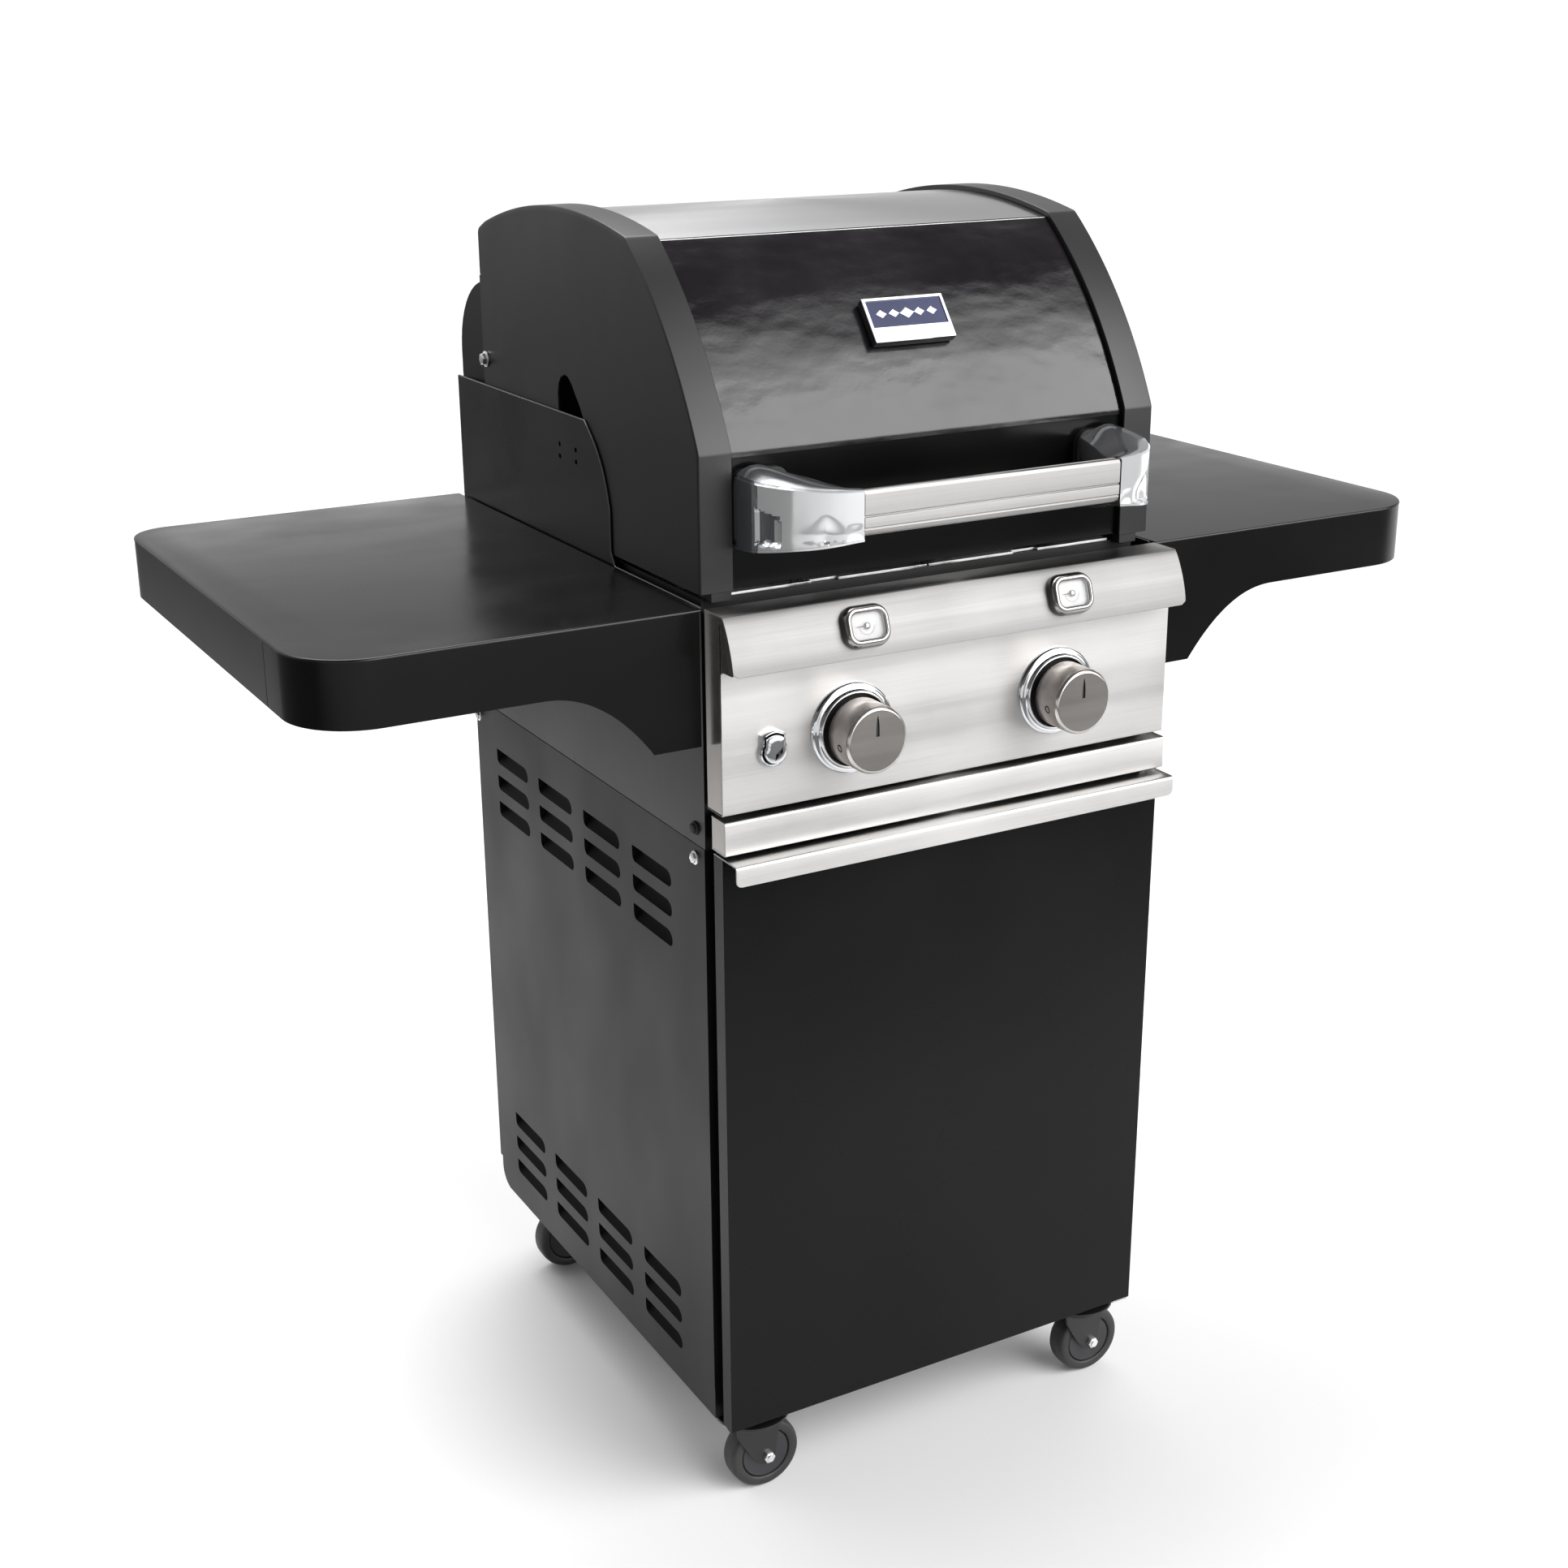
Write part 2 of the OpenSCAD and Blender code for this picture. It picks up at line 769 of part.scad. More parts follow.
bracket_plan = concat(
  [[-209, 34.4], [-209, 8]],
  bowed([-209, 8], [-172, -48], 7, 8),
  [[-160, -55], [-136, -60], [-136, -41.2]],
  bowed([-141, -41.2], [-172, 10], -6, 8),
  [[-176, 34.4]]);

module handle_brackets() {
  color([0.86, 0.86, 0.88]) for (s = [-1, 1]) {
    on_side(s) difference() {
      union() {
        translate([0, 0, 985]) linear_extrude(height = 51) polygon(bracket_plan);
        along_y(28, 6.4) translate([-190, 1008]) rrect(40, 72, 8);
        along_y(28, 8.3) translate([-189, 1008]) rrect(30, 62, 7);
      }
      translate([-141, -50.5, 1011.5]) rotate([90, 0, 90])
        linear_extrude(height = 10) rrect(19.1, 39.1, 4.05);
    }
  }
}

module lid_hinge_bolts() {
  color([0.78, 0.78, 0.78]) for (s = [-1, 1]) {
    on_side(s) {
      rod_x([-244, hinge_y, hinge_z], hinge_r, 10);
      rod_x([-250, hinge_y, hinge_z], 7.5, 6);
    }
  }
}

// ---- what is drawn ----

placed() base_pan();
placed() side_panel(-1);  // side_panel_left
placed() side_panel(1);  // side_panel_right
placed() rear_panel();
placed() front_rail();
placed() end_panel(-1);  // end_panel_left
placed() end_panel(1);  // end_panel_right
placed() firebox();
placed() rear_shield();
placed() burners();
placed() emitters();
placed() grates();
placed() warming_rack();
placed() rack_legs();
placed() manifold();
placed() valve_bodies();
placed() spark_module();
placed() control_panel();
placed() hood();
placed() knob_bezels();
placed() gauge_bezels();
placed() gauge_dials();
placed() gauge_lenses();
placed() igniter_bezel();
placed() tray_rails();
placed() shelf(-1);  // shelf_left
placed() shelf(1);  // shelf_right
placed() fascia(-1);  // fascia_left
placed() fascia(1);  // fascia_right
placed() door_brackets();
placed() caster_plates();
placed() cart_bolts();
placed() lid_hinge_bolts();
placed() drip_pan();
placed() drip_front();
placed() door_panel();
placed() door_handle();
placed() knob(-1);  // knob_left
placed() knob(1);  // knob_right
placed() plunger(-1);  // plunger_left
placed() plunger(1);  // plunger_right
placed() igniter_button();
placed() needle(-1);  // needle_left
placed() needle(1);  // needle_right
placed() lid_cap(-1);  // lid_cap_left
placed() lid_cap(1);  // lid_cap_right
placed() lid_roof();
placed() lid_front();
placed() lid_lower();
placed() badge_plate();
placed() handle_bar();
placed() handle_brackets();
placed() fork(-1, caster_y1);  // fork_front_left
placed() fork(1, caster_y1);  // fork_front_right
placed() fork(-1, caster_y2);  // fork_rear_left
placed() fork(1, caster_y2);  // fork_rear_right
placed() wheel(-1, caster_y1);  // wheel_front_left
placed() wheel(1, caster_y1);  // wheel_front_right
placed() wheel(-1, caster_y2);  // wheel_rear_left
placed() wheel(1, caster_y2);  // wheel_rear_right
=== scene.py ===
import bpy
import bmesh
import json
import math
from mathutils import Matrix, Vector


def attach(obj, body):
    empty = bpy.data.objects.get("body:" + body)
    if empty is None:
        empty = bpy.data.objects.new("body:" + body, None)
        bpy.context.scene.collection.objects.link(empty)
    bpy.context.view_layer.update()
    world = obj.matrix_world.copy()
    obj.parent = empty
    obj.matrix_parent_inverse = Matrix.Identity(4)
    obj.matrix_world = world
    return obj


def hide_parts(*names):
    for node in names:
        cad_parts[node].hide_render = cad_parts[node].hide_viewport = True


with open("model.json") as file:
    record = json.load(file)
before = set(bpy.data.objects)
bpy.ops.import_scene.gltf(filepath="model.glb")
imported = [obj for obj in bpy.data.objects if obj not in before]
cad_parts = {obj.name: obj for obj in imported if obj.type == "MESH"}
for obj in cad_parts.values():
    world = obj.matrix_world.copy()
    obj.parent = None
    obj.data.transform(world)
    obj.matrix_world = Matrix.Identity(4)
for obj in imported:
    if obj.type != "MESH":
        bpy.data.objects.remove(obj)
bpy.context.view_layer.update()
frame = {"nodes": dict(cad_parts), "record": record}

MM = 0.001
FRONT = -0.265          # y of the door face
SIDES = ((-1, "left"), (1, "right"))


def P(x, y, z):
    """Millimetres measured from the door face, to the frame in metres."""
    return Vector((x * MM, y * MM + FRONT, z * MM))


# ---- camera
CAM_POS = Vector((-1.0893, -1.8806, 1.4150))
CAM_YAW, CAM_PITCH, CAM_ROLL = (math.radians(a) for a in (29.357, 19.447, -0.352))
CAM_LENS = 50.50


def make_camera():
    cam = bpy.data.objects.new("camera", bpy.data.cameras.new("camera"))
    bpy.context.scene.collection.objects.link(cam)
    fwd = Vector((math.sin(CAM_YAW) * math.cos(CAM_PITCH),
                  math.cos(CAM_YAW) * math.cos(CAM_PITCH), -math.sin(CAM_PITCH)))
    right = Vector((math.cos(CAM_YAW), -math.sin(CAM_YAW), 0))
    up = right.cross(fwd)
    r2 = math.cos(CAM_ROLL) * right + math.sin(CAM_ROLL) * up
    u2 = -math.sin(CAM_ROLL) * right + math.cos(CAM_ROLL) * up
    m = Matrix((r2, u2, -fwd)).transposed().to_4x4()
    m.translation = CAM_POS
    cam.matrix_world = m
    cam.data.lens = CAM_LENS
    cam.data.sensor_width = 36
    cam.data.clip_end = 60
    bpy.context.scene.camera = cam


def area(name, loc, target, w, h, power, color=(1, 1, 1)):
    light = bpy.data.lights.new(name, "AREA")
    light.shape = "RECTANGLE"
    light.size, light.size_y = w, h
    light.energy = power
    light.color = color
    o = bpy.data.objects.new(name, light)
    bpy.context.scene.collection.objects.link(o)
    o.location = loc
    o.rotation_euler = (Vector(target) - Vector(loc)).to_track_quat("-Z", "Y").to_euler()
    return o


# ---- materials
class Nodes:
    """Short hand for building a node tree."""

    def __init__(self, name):
        self.mat = bpy.data.materials.new(name)
        self.mat.use_nodes = True
        self.t = self.mat.node_tree
        self.bsdf = self.t.nodes["Principled BSDF"]
        self.coord = self.t.nodes.new("ShaderNodeTexCoord")

    def node(self, kind, **values):
        n = self.t.nodes.new(kind)
        for k, v in values.items():
            if hasattr(n, k):
                setattr(n, k, v)
            else:
                n.inputs[k].default_value = v
        return n

    def link(self, a, b):
        self.t.links.new(a, b)

    def mapped(self, scale):
        m = self.node("ShaderNodeMapping")
        m.inputs["Scale"].default_value = scale
        self.link(self.coord.outputs["Object"], m.inputs["Vector"])
        return m.outputs["Vector"]

    def noise(self, scale, detail=4, rough=0.55, stretch=(1, 1, 1)):
        n = self.node("ShaderNodeTexNoise")
        n.inputs["Scale"].default_value = scale
        n.inputs["Detail"].default_value = detail
        n.inputs["Roughness"].default_value = rough
        self.link(self.mapped(stretch), n.inputs["Vector"])
        return n.outputs["Fac"]

    def ramp(self, fac, stops):
        r = self.node("ShaderNodeValToRGB")
        e = r.color_ramp.elements
        while len(e) < len(stops):
            e.new(0.5)
        for el, (pos, col) in zip(e, stops):
            el.position = pos
            el.color = (*col, 1) if len(col) == 3 else col
        self.link(fac, r.inputs["Fac"])
        return r.outputs["Color"]

    def spread(self, fac, lo, hi, a=0.0, b=1.0):
        n = self.node("ShaderNodeMapRange")
        n.inputs["From Min"].default_value = a
        n.inputs["From Max"].default_value = b
        n.inputs["To Min"].default_value = lo
        n.inputs["To Max"].default_value = hi
        self.link(fac, n.inputs["Value"])
        return n.outputs["Result"]

    def mix(self, fac, a, b):
        n = self.t.nodes.new("ShaderNodeMix")
        n.data_type = "RGBA"
        self.link(fac, n.inputs["Factor"])
        socks = [s for s in n.inputs if s.type == "RGBA"]
        for sock, v in zip(socks, (a, b)):
            if isinstance(v, tuple):
                sock.default_value = (*v, 1)
            else:
                self.link(v, sock)
        return [s for s in n.outputs if s.type == "RGBA"][0]

    def bump(self, height, strength, distance, previous=None):
        b = self.node("ShaderNodeBump")
        b.inputs["Strength"].default_value = strength
        b.inputs["Distance"].default_value = distance
        self.link(height, b.inputs["Height"])
        if previous is not None:
            self.link(previous, b.inputs["Normal"])
        return b.outputs["Normal"]

    def set(self, **values):
        names = dict(base="Base Color", rough="Roughness", metal="Metallic", normal="Normal",
                     spec="Specular IOR Level", alpha="Alpha", aniso="Anisotropic",
                     turn="Anisotropic Rotation")
        for k, v in values.items():
            s = self.bsdf.inputs[names[k]]
            if isinstance(v, bpy.types.NodeSocket):
                self.link(v, s)
            elif s.type == "RGBA":
                s.default_value = (*v, 1)
            else:
                s.default_value = v
        return self.mat


def powder(name, dark, light, rough=0.46, grain=0.05, spec=0.5, smudge=0.05):
    n = Nodes(name)
    cloud = n.noise(5.0, 3)
    fine = n.noise(1400.0, 2, 0.6)
    col = n.ramp(cloud, [(0.3, dark), (0.7, light)])
    r = n.spread(n.noise(6.5, 2, 0.5, (1.0, 1.6, 1.0)), rough - smudge, rough + 1.2 * smudge, 0.25, 0.75)
    return n.set(base=col, rough=r, spec=spec, normal=n.bump(fine, 0.2, grain * MM))


def enamel(name):
    n = Nodes(name)
    peel = n.noise(170.0, 2, 0.5)
    slow = n.noise(11.0, 2, 0.5, (1.0, 1.8, 1.8))
    col = n.ramp(n.noise(6.0, 3), [(0.3, (0.006, 0.005, 0.006)), (0.75, (0.010, 0.008, 0.010))])
    r = n.spread(n.noise(9.0, 5, 0.6), 0.10, 0.26, 0.35, 0.7)
    mid = n.noise(48.0, 3, 0.6, (1.0, 1.5, 1.5))
    bump = n.bump(slow, 0.7, 4.5 * MM, n.bump(mid, 0.5, 0.5 * MM, n.bump(peel, 0.4, 0.14 * MM)))
    return n.set(base=col, rough=r, normal=bump)


def brushed(name, base, rough=0.27, along="x", depth=0.03, tone=0.05, vary=1.0):
    n = Nodes(name)
    stretch = dict(x=(1.2, 260, 260), y=(260, 1.2, 260), z=(260, 260, 1.2))[along]
    hair = n.noise(5.0, 6, 0.7, stretch)
    band = n.noise(1.0, 4, 0.6, tuple(v if v > 2 else 0.5 for v in (s / 9 for s in stretch)))
    blot = n.noise(6.0, 4)
    lo = tuple(c * (1 - 2.2 * tone) for c in base)
    hi = tuple(min(1, c * (1 + tone)) for c in base)
    col = n.ramp(hair, [(0.32, lo), (0.62, base), (0.8, hi)])
    r = n.spread(band, rough - 0.06 * vary, rough + 0.09 * vary, 0.3, 0.7)
    r2 = n.node("ShaderNodeMath", operation="ADD")
    n.link(r, r2.inputs[0])
    n.link(n.spread(blot, -0.03 * vary, 0.05 * vary, 0.3, 0.7), r2.inputs[1])
    return n.set(base=col, metal=1.0, rough=r2.outputs[0], aniso=0.75, turn=0.0 if along == "z" else 0.25,
                 normal=n.bump(hair, 0.4, depth * MM))


def polished(name, base, rough=0.06, metal=1.0):
    n = Nodes(name)
    r = n.spread(n.noise(25.0, 5), rough * 0.6, rough * 1.8, 0.3, 0.7)
    return n.set(base=n.ramp(n.noise(8.0, 2), [(0.3, tuple(c * 0.95 for c in base)), (0.7, base)]),
                 metal=metal, rough=r, normal=n.bump(n.noise(60.0, 3), 0.08, 0.05 * MM))


def plastic(name, base, rough=0.5, bump=0.05, scale=700.0):
    n = Nodes(name)
    lift = tuple(min(1, c * 1.35 + 0.003) for c in base)
    return n.set(base=n.ramp(n.noise(18.0, 4), [(0.3, base), (0.75, lift)]),
                 rough=n.spread(n.noise(40.0, 4), rough - 0.08, rough + 0.1, 0.3, 0.7),
                 normal=n.bump(n.noise(scale, 3, 0.6), 0.4, bump * MM))


def rubber(name):
    n = Nodes(name)
    tone = n.ramp(n.noise(30.0, 5), [(0.3, (0.010, 0.010, 0.010)), (0.8, (0.022, 0.021, 0.020))])
    return n.set(base=tone,
                 rough=n.spread(n.noise(55.0, 5), 0.38, 0.62, 0.3, 0.7),
                 normal=n.bump(n.noise(600.0, 3), 0.5, 0.06 * MM))


M = {}
M["side"] = powder("powder_side", (0.0045, 0.004, 0.004), (0.007, 0.0062, 0.006), 0.36, 0.05, 0.19)
M["end"] = powder("powder_end", (0.0035, 0.0032, 0.0032), (0.005, 0.0045, 0.0045), 0.30, 0.05, 0.4)
M["shelf"] = powder("powder_shelf", (0.003, 0.003, 0.003), (0.005, 0.005, 0.005), 0.22, 0.03, 0.34, 0.09)
M["coat"] = powder("powder_black", (0.003, 0.003, 0.003), (0.005, 0.005, 0.005), 0.38)
M["cap"] = powder("powder_cap", (0.003, 0.003, 0.004), (0.005, 0.005, 0.006), 0.40)
M["door"] = powder("powder_door", (0.0018, 0.0018, 0.0019), (0.003, 0.003, 0.0032), 0.28, 0.03, 0.17)
M["inside"] = powder("coated_inside", (0.006, 0.006, 0.006), (0.015, 0.014, 0.013), 0.55, 0.12)
M["enamel"] = enamel("gloss_enamel")
M["steel"] = brushed("brushed_stainless", (0.515, 0.507, 0.50), 0.36)
M["steel_soft"] = brushed("brushed_satin", (0.225, 0.222, 0.219), 0.44)
M["bar"] = brushed("brushed_bar", (0.32, 0.312, 0.306), 0.42)
M["steel_roof"] = brushed("brushed_roof", (0.47, 0.47, 0.475), 0.24, "x", 0.006, 0.02, 0.25)
M["steel_y"] = brushed("brushed_stainless_y", (0.66, 0.65, 0.63), 0.33, "y")
M["chrome"] = polished("chrome", (0.80, 0.81, 0.83), 0.05)
# two copies of one chrome: a lighter, partly diffuse one for the bracket fronts as painted light, a darker
# one for their sides as painted shade
M["arm"] = polished("chrome_arm_painted_light", (0.84, 0.845, 0.855), 0.10, 0.62)
M["arm_side"] = polished("chrome_arm_painted_shade", (0.42, 0.43, 0.45), 0.10, 0.9)
M["dark_chrome"] = polished("dark_chrome", (0.36, 0.345, 0.34), 0.16)
M["knob"] = brushed("knob_satin", (0.66, 0.61, 0.575), 0.40, "y", 0.012, 0.03)
M["knob_face"] = brushed("knob_face", (0.17, 0.16, 0.152), 0.34, "x", 0.01, 0.03)
M["zinc"] = brushed("zinc_plate", (0.62, 0.62, 0.63), 0.34, "z", 0.02, 0.08)
M["brass"] = brushed("machined_brass", (0.72, 0.53, 0.26), 0.3, "x", 0.02, 0.06)
M["plastic"] = plastic("black_plastic", (0.010, 0.010, 0.010), 0.42)
M["gasket"] = plastic("gasket", (0.008, 0.008, 0.008), 0.6, 0.08)
M["rubber"] = rubber("tread_rubber")
M["hub"] = plastic("hub_plastic", (0.014, 0.014, 0.016), 0.38)
M["dial"] = plastic("dial_white", (0.46, 0.46, 0.46), 0.45, 0.003)
M["needle"] = plastic("needle_paint", (0.12, 0.05, 0.05), 0.4, 0.01)
M["blue"] = plastic("badge_blue", (0.012, 0.016, 0.062), 0.35, 0.01)

M["lid_low"] = powder("powder_lid", (0.002, 0.002, 0.002), (0.003, 0.003, 0.003), 0.20, 0.03, 0.13)
M["steel_z"] = brushed("brushed_stainless_z", (0.50, 0.47, 0.45), 0.20, "z")
M["knob_edge"] = polished("knob_edge", (0.62, 0.60, 0.58), 0.16)
M["print"] = plastic("dial_print", (0.05, 0.04, 0.04), 0.5, 0.01)
M["badge_side"] = plastic("badge_side", (0.012, 0.012, 0.013), 0.35)
M["band"] = powder("powder_band", (0.002, 0.002, 0.002), (0.003, 0.003, 0.003), 0.22, 0.03, 0.25)
M["fork"] = powder("powder_fork", (0.006, 0.006, 0.006), (0.010, 0.010, 0.010), 0.36)
M["bright"] = polished("bright_zinc", (0.86, 0.86, 0.86), 0.30)
# a much lighter copy of the black powder for the end panels' edge bead: painted highlight
M["edge"] = powder("powder_edge_painted_highlight", (0.07, 0.066, 0.064), (0.10, 0.095, 0.092), 0.30, 0.02, 0.7)
# darker, duller copy of the side powder for the faces inside the louvres: painted shade in the pressings
M["scoop"] = powder("powder_louvre_painted_shade", (0.003, 0.0028, 0.0028), (0.005, 0.0045, 0.0045), 0.42, 0.03, 0.05)


def glass(name):
    n = Nodes(name)
    n.set(base=(0.95, 0.97, 1.0), rough=0.03, alpha=0.12, spec=0.6,
          normal=n.bump(n.noise(20.0, 2), 0.05, 0.05 * MM))
    n.mat.surface_render_method = "BLENDED"
    return n.mat


M["lens"] = glass("lens_clear")

# ---- mesh tools
BODY_OF = {n: b for b, nodes in frame["record"]["behaviour"]["bodies"].items() for n in nodes}
SHARP = math.radians(30.0)      # bends above this get a softened edge
FLAT = math.radians(0.4)        # faces within this count as one
WELD = 1e-6                     # metres


def finish_mesh(name, me, body, mats, nodes=(), slot=None, smooth=30.0, bevel=None, seg=2):
    o = bpy.data.objects.new(name, me)
    bpy.context.scene.collection.objects.link(o)
    for m in mats if isinstance(mats, (list, tuple)) else [mats]:
        me.materials.append(m)
    me.shade_smooth()
    me.set_sharp_from_angle(angle=math.radians(smooth))
    if bevel:
        b = o.modifiers.new("edge", "BEVEL")
        b.width = bevel * MM
        b.segments = seg
        b.limit_method = "ANGLE"
        b.angle_limit = SHARP
        b.harden_normals = True
        b.use_clamp_overlap = True
    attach(o, body)
    if nodes:
        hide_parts(*nodes)
    return o


SLOT_OF = {M[key].name: slot for slot, keys in (
    ("black_enamel", "enamel"), ("black_coat", "lid_low cap side coat fork shelf band edge"),
    ("stainless", "steel_roof steel_soft steel steel_z bar"), ("zinc", "zinc bright"),
    ("chrome", "chrome blue arm"), ("dark_chrome", "dark_chrome"), ("knob_metal", "knob knob_face"),
    ("black_plastic", "gasket badge_side"), ("dial_white", "dial print"), ("needle_paint", "needle"),
    ("lens_glass", "lens"), ("wheel_rubber", "rubber hub")) for key in keys.split()}


def from_bm(name, bm, body, mats, **kw):
    """A piece from a bmesh. The slot of its first material, or the one it names, is looked up and passed on,
    but nothing uses it.
    """
    main = mats[0] if isinstance(mats, list) else mats
    kw.setdefault("slot", SLOT_OF[main.name])
    bmesh.ops.recalc_face_normals(bm, faces=bm.faces)
    me = bpy.data.meshes.new(name)
    bm.to_mesh(me)
    bm.free()
    return finish_mesh(name, me, body, mats, **kw)


def cad_copy(node, mat, bevel):
    """A welded copy of a CAD node with its flat faces merged and its edges softened."""
    src = frame["nodes"][node]
    bm = bmesh.new()
    bm.from_mesh(src.data)
    bm.transform(src.matrix_world)
    bmesh.ops.remove_doubles(bm, verts=bm.verts, dist=WELD)
    bmesh.ops.dissolve_limit(bm, angle_limit=FLAT, verts=bm.verts, edges=bm.edges,
                             use_dissolve_boundaries=False)
    me = bpy.data.meshes.new("v_" + node)
    bm.to_mesh(me)
    bm.free()
    return finish_mesh("v_" + node, me, BODY_OF[node], mat, nodes=(node,), bevel=bevel)


# ---- shaping tools
def fillet(pts, radii, seg=6):
    """2-D polyline with each inner corner rounded."""
    out = [Vector(pts[0])]
    for i in range(1, len(pts) - 1):
        a, b, c = Vector(pts[i - 1]), Vector(pts[i]), Vector(pts[i + 1])
        r = radii[i] if isinstance(radii, (list, tuple)) else radii
        d0, d1 = (a - b), (c - b)
        if r <= 0 or d0.length < 1e-9 or d1.length < 1e-9:
            out.append(b)
            continue
        d0n, d1n = d0.normalized(), d1.normalized()
        half = math.acos(max(-1, min(1, d0n.dot(d1n)))) / 2
        cut = min(r / math.tan(half), d0.length * 0.49, d1.length * 0.49)
        p0, p1 = b + d0n * cut, b + d1n * cut
        for k in range(seg + 1):
            t = k / seg
            out.append(p0 * (1 - t) ** 2 + b * 2 * t * (1 - t) + p1 * t * t)
    out.append(Vector(pts[-1]))
    return out


def bowed(a, b, s, n):
    a, b = Vector(a), Vector(b)
    d = b - a
    side = Vector((-d.y, d.x)).normalized()
    return [a + d * (i / n) + side * (4 * s * (i / n) * (1 - i / n)) for i in range(n + 1)]


def shifted(path, d):
    """The path moved to the right of travel by d."""
    out = []
    for i, p in enumerate(path):
        a = max(i - 1, 0)
        b = min(i, len(path) - 2)
        s0 = (path[a + 1] - path[a]).normalized()
        s1 = (path[b + 1] - path[b]).normalized()
        n0, n1 = Vector((s0.y, -s0.x)), Vector((s1.y, -s1.x))
        out.append(p + (n0 + n1) * (d / (1 + n0.dot(n1))))
    return out


def arc(cx, cy, r, start, stop, steps):
    """Points along an arc, its angles in degrees."""
    turns = (math.radians(start + (stop - start) * k / steps) for k in range(steps + 1))
    return [Vector((cx + r * math.cos(a), cy + r * math.sin(a))) for a in turns]


def points(*pairs):
    return [Vector(p) for p in pairs]


def vert_row(bm, place, pts, h):
    return [bm.verts.new(place(p.x, p.y, h)) for p in pts]


def grid_faces(bm, rows, close=False, mat=0):
    """Quads between neighbouring rows of vertices."""
    faces = []
    for r0, r1 in zip(rows, rows[1:]):
        m = len(r0)
        for k in range(m if close else m - 1):
            q = (r0[k], r0[(k + 1) % m], r1[(k + 1) % m], r1[k])
            if len(set(q)) == 4:
                f = bm.faces.new(q)
                f.material_index = mat
                faces.append(f)
    return faces


def sheet_piece(name, path, extent, thick, body, mats, columns=6, **kw):
    """A bent sheet: path is y,z in mm, extent(p) gives its half width there."""
    bm = bmesh.new()
    inner = shifted(path, thick)
    rows = []
    for p, q in zip(path, inner):
        e = extent(p)
        row = [bm.verts.new(P(-e + 2 * e * k / columns, p.x, p.y)) for k in range(columns + 1)]
        row += [bm.verts.new(P(e - 2 * e * k / columns, q.x, q.y)) for k in range(columns + 1)]
        rows.append(row)
    grid_faces(bm, rows, close=True)
    for row in (rows[0], rows[-1]):
        m = columns + 1
        for k in range(columns):
            bm.faces.new((row[k], row[k + 1], row[2 * m - 2 - k], row[2 * m - 1 - k]))
    return from_bm(name, bm, body, mats, **kw)


def lathe_piece(name, profile, centre, axis, body, mats, steps=96, parts=None, **kw):
    """profile is (radius, along) in mm turned about an axis; closed where it meets radius 0."""
    bm = bmesh.new()
    axis = Vector(axis).normalized()
    q = axis.to_track_quat("Z", "Y").to_matrix()
    rows = []
    for r, a in profile:
        if r < 1e-6:
            rows.append([bm.verts.new(centre + q @ Vector((0, 0, a * MM)))])
            continue
        rows.append([bm.verts.new(centre + q @ Vector((
            r * MM * math.cos(2 * math.pi * k / steps), r * MM * math.sin(2 * math.pi * k / steps),
            a * MM))) for k in range(steps)])
    for i, (r0, r1) in enumerate(zip(rows, rows[1:])):
        m = parts[i] if parts else 0
        if len(r0) == 1 and len(r1) == 1:
            continue
        for k in range(steps):
            a, b = r0[k % len(r0)], r0[(k + 1) % len(r0)]
            c, d = r1[(k + 1) % len(r1)], r1[k % len(r1)]
            vs = [v for j, v in enumerate((a, b, c, d)) if v not in (a, b, c, d)[:j]]
            f = bm.faces.new(vs)
            f.material_index = m
    return from_bm(name, bm, body, mats, **kw)


def rr_outline(w, h, r, seg=8, bulge=0.0):
    """Rounded rectangle outline, w by h, with its sides bowed out by bulge."""
    pts = []
    for sx, sy, a0 in ((1, 1, 0), (-1, 1, 90), (-1, -1, 180), (1, -1, 270)):
        pts += arc(sx * (w / 2 - r), sy * (h / 2 - r), r, a0, a0 + 90, seg)
    if bulge:
        pts = [Vector((p.x * (1 + bulge * (1 - (2 * p.y / h) ** 2)),
                       p.y * (1 + bulge * (1 - (2 * p.x / w) ** 2)))) for p in pts]
    return pts


def loft_piece(name, sections, place, body, mats, parts=None, cap=(True, True), **kw):
    """Sections are (outline points, height); place turns (u, v, height) in mm into the frame."""
    bm = bmesh.new()
    rows = [vert_row(bm, place, pts, h) for pts, h in sections]
    for i, (r0, r1) in enumerate(zip(rows, rows[1:])):
        grid_faces(bm, [r0, r1], close=True, mat=parts[i] if parts else 0)
    if cap[0]:
        bm.faces.new(rows[0]).material_index = parts[0] if parts else 0
    if cap[1]:
        bm.faces.new(rows[-1]).material_index = parts[-1] if parts else 0
    return from_bm(name, bm, body, mats, **kw)


# ---- lid
LID_Y = 34.5            # the lid's upright front
LID_FOOT = 934.5        # its lower edge
BEND_Z = 1056           # where the front starts to lean back
LOWER = points((LID_Y, LID_FOOT), (LID_Y, 995), (LID_Y, BEND_Z))
FRONT_CURVE = bowed((LID_Y, BEND_Z), (167, 1227), 13, 40)
ROOF_CURVE = bowed((167, 1227), (491, 1216), 21, 48)
REAR_Y = 509.5
REAR = points((REAR_Y, 1208), (REAR_Y, 1163))
SKIN = 208.9            # half width of the skins between the caps
RECESS = 5.0            # the skins lie this far below the rims of the caps


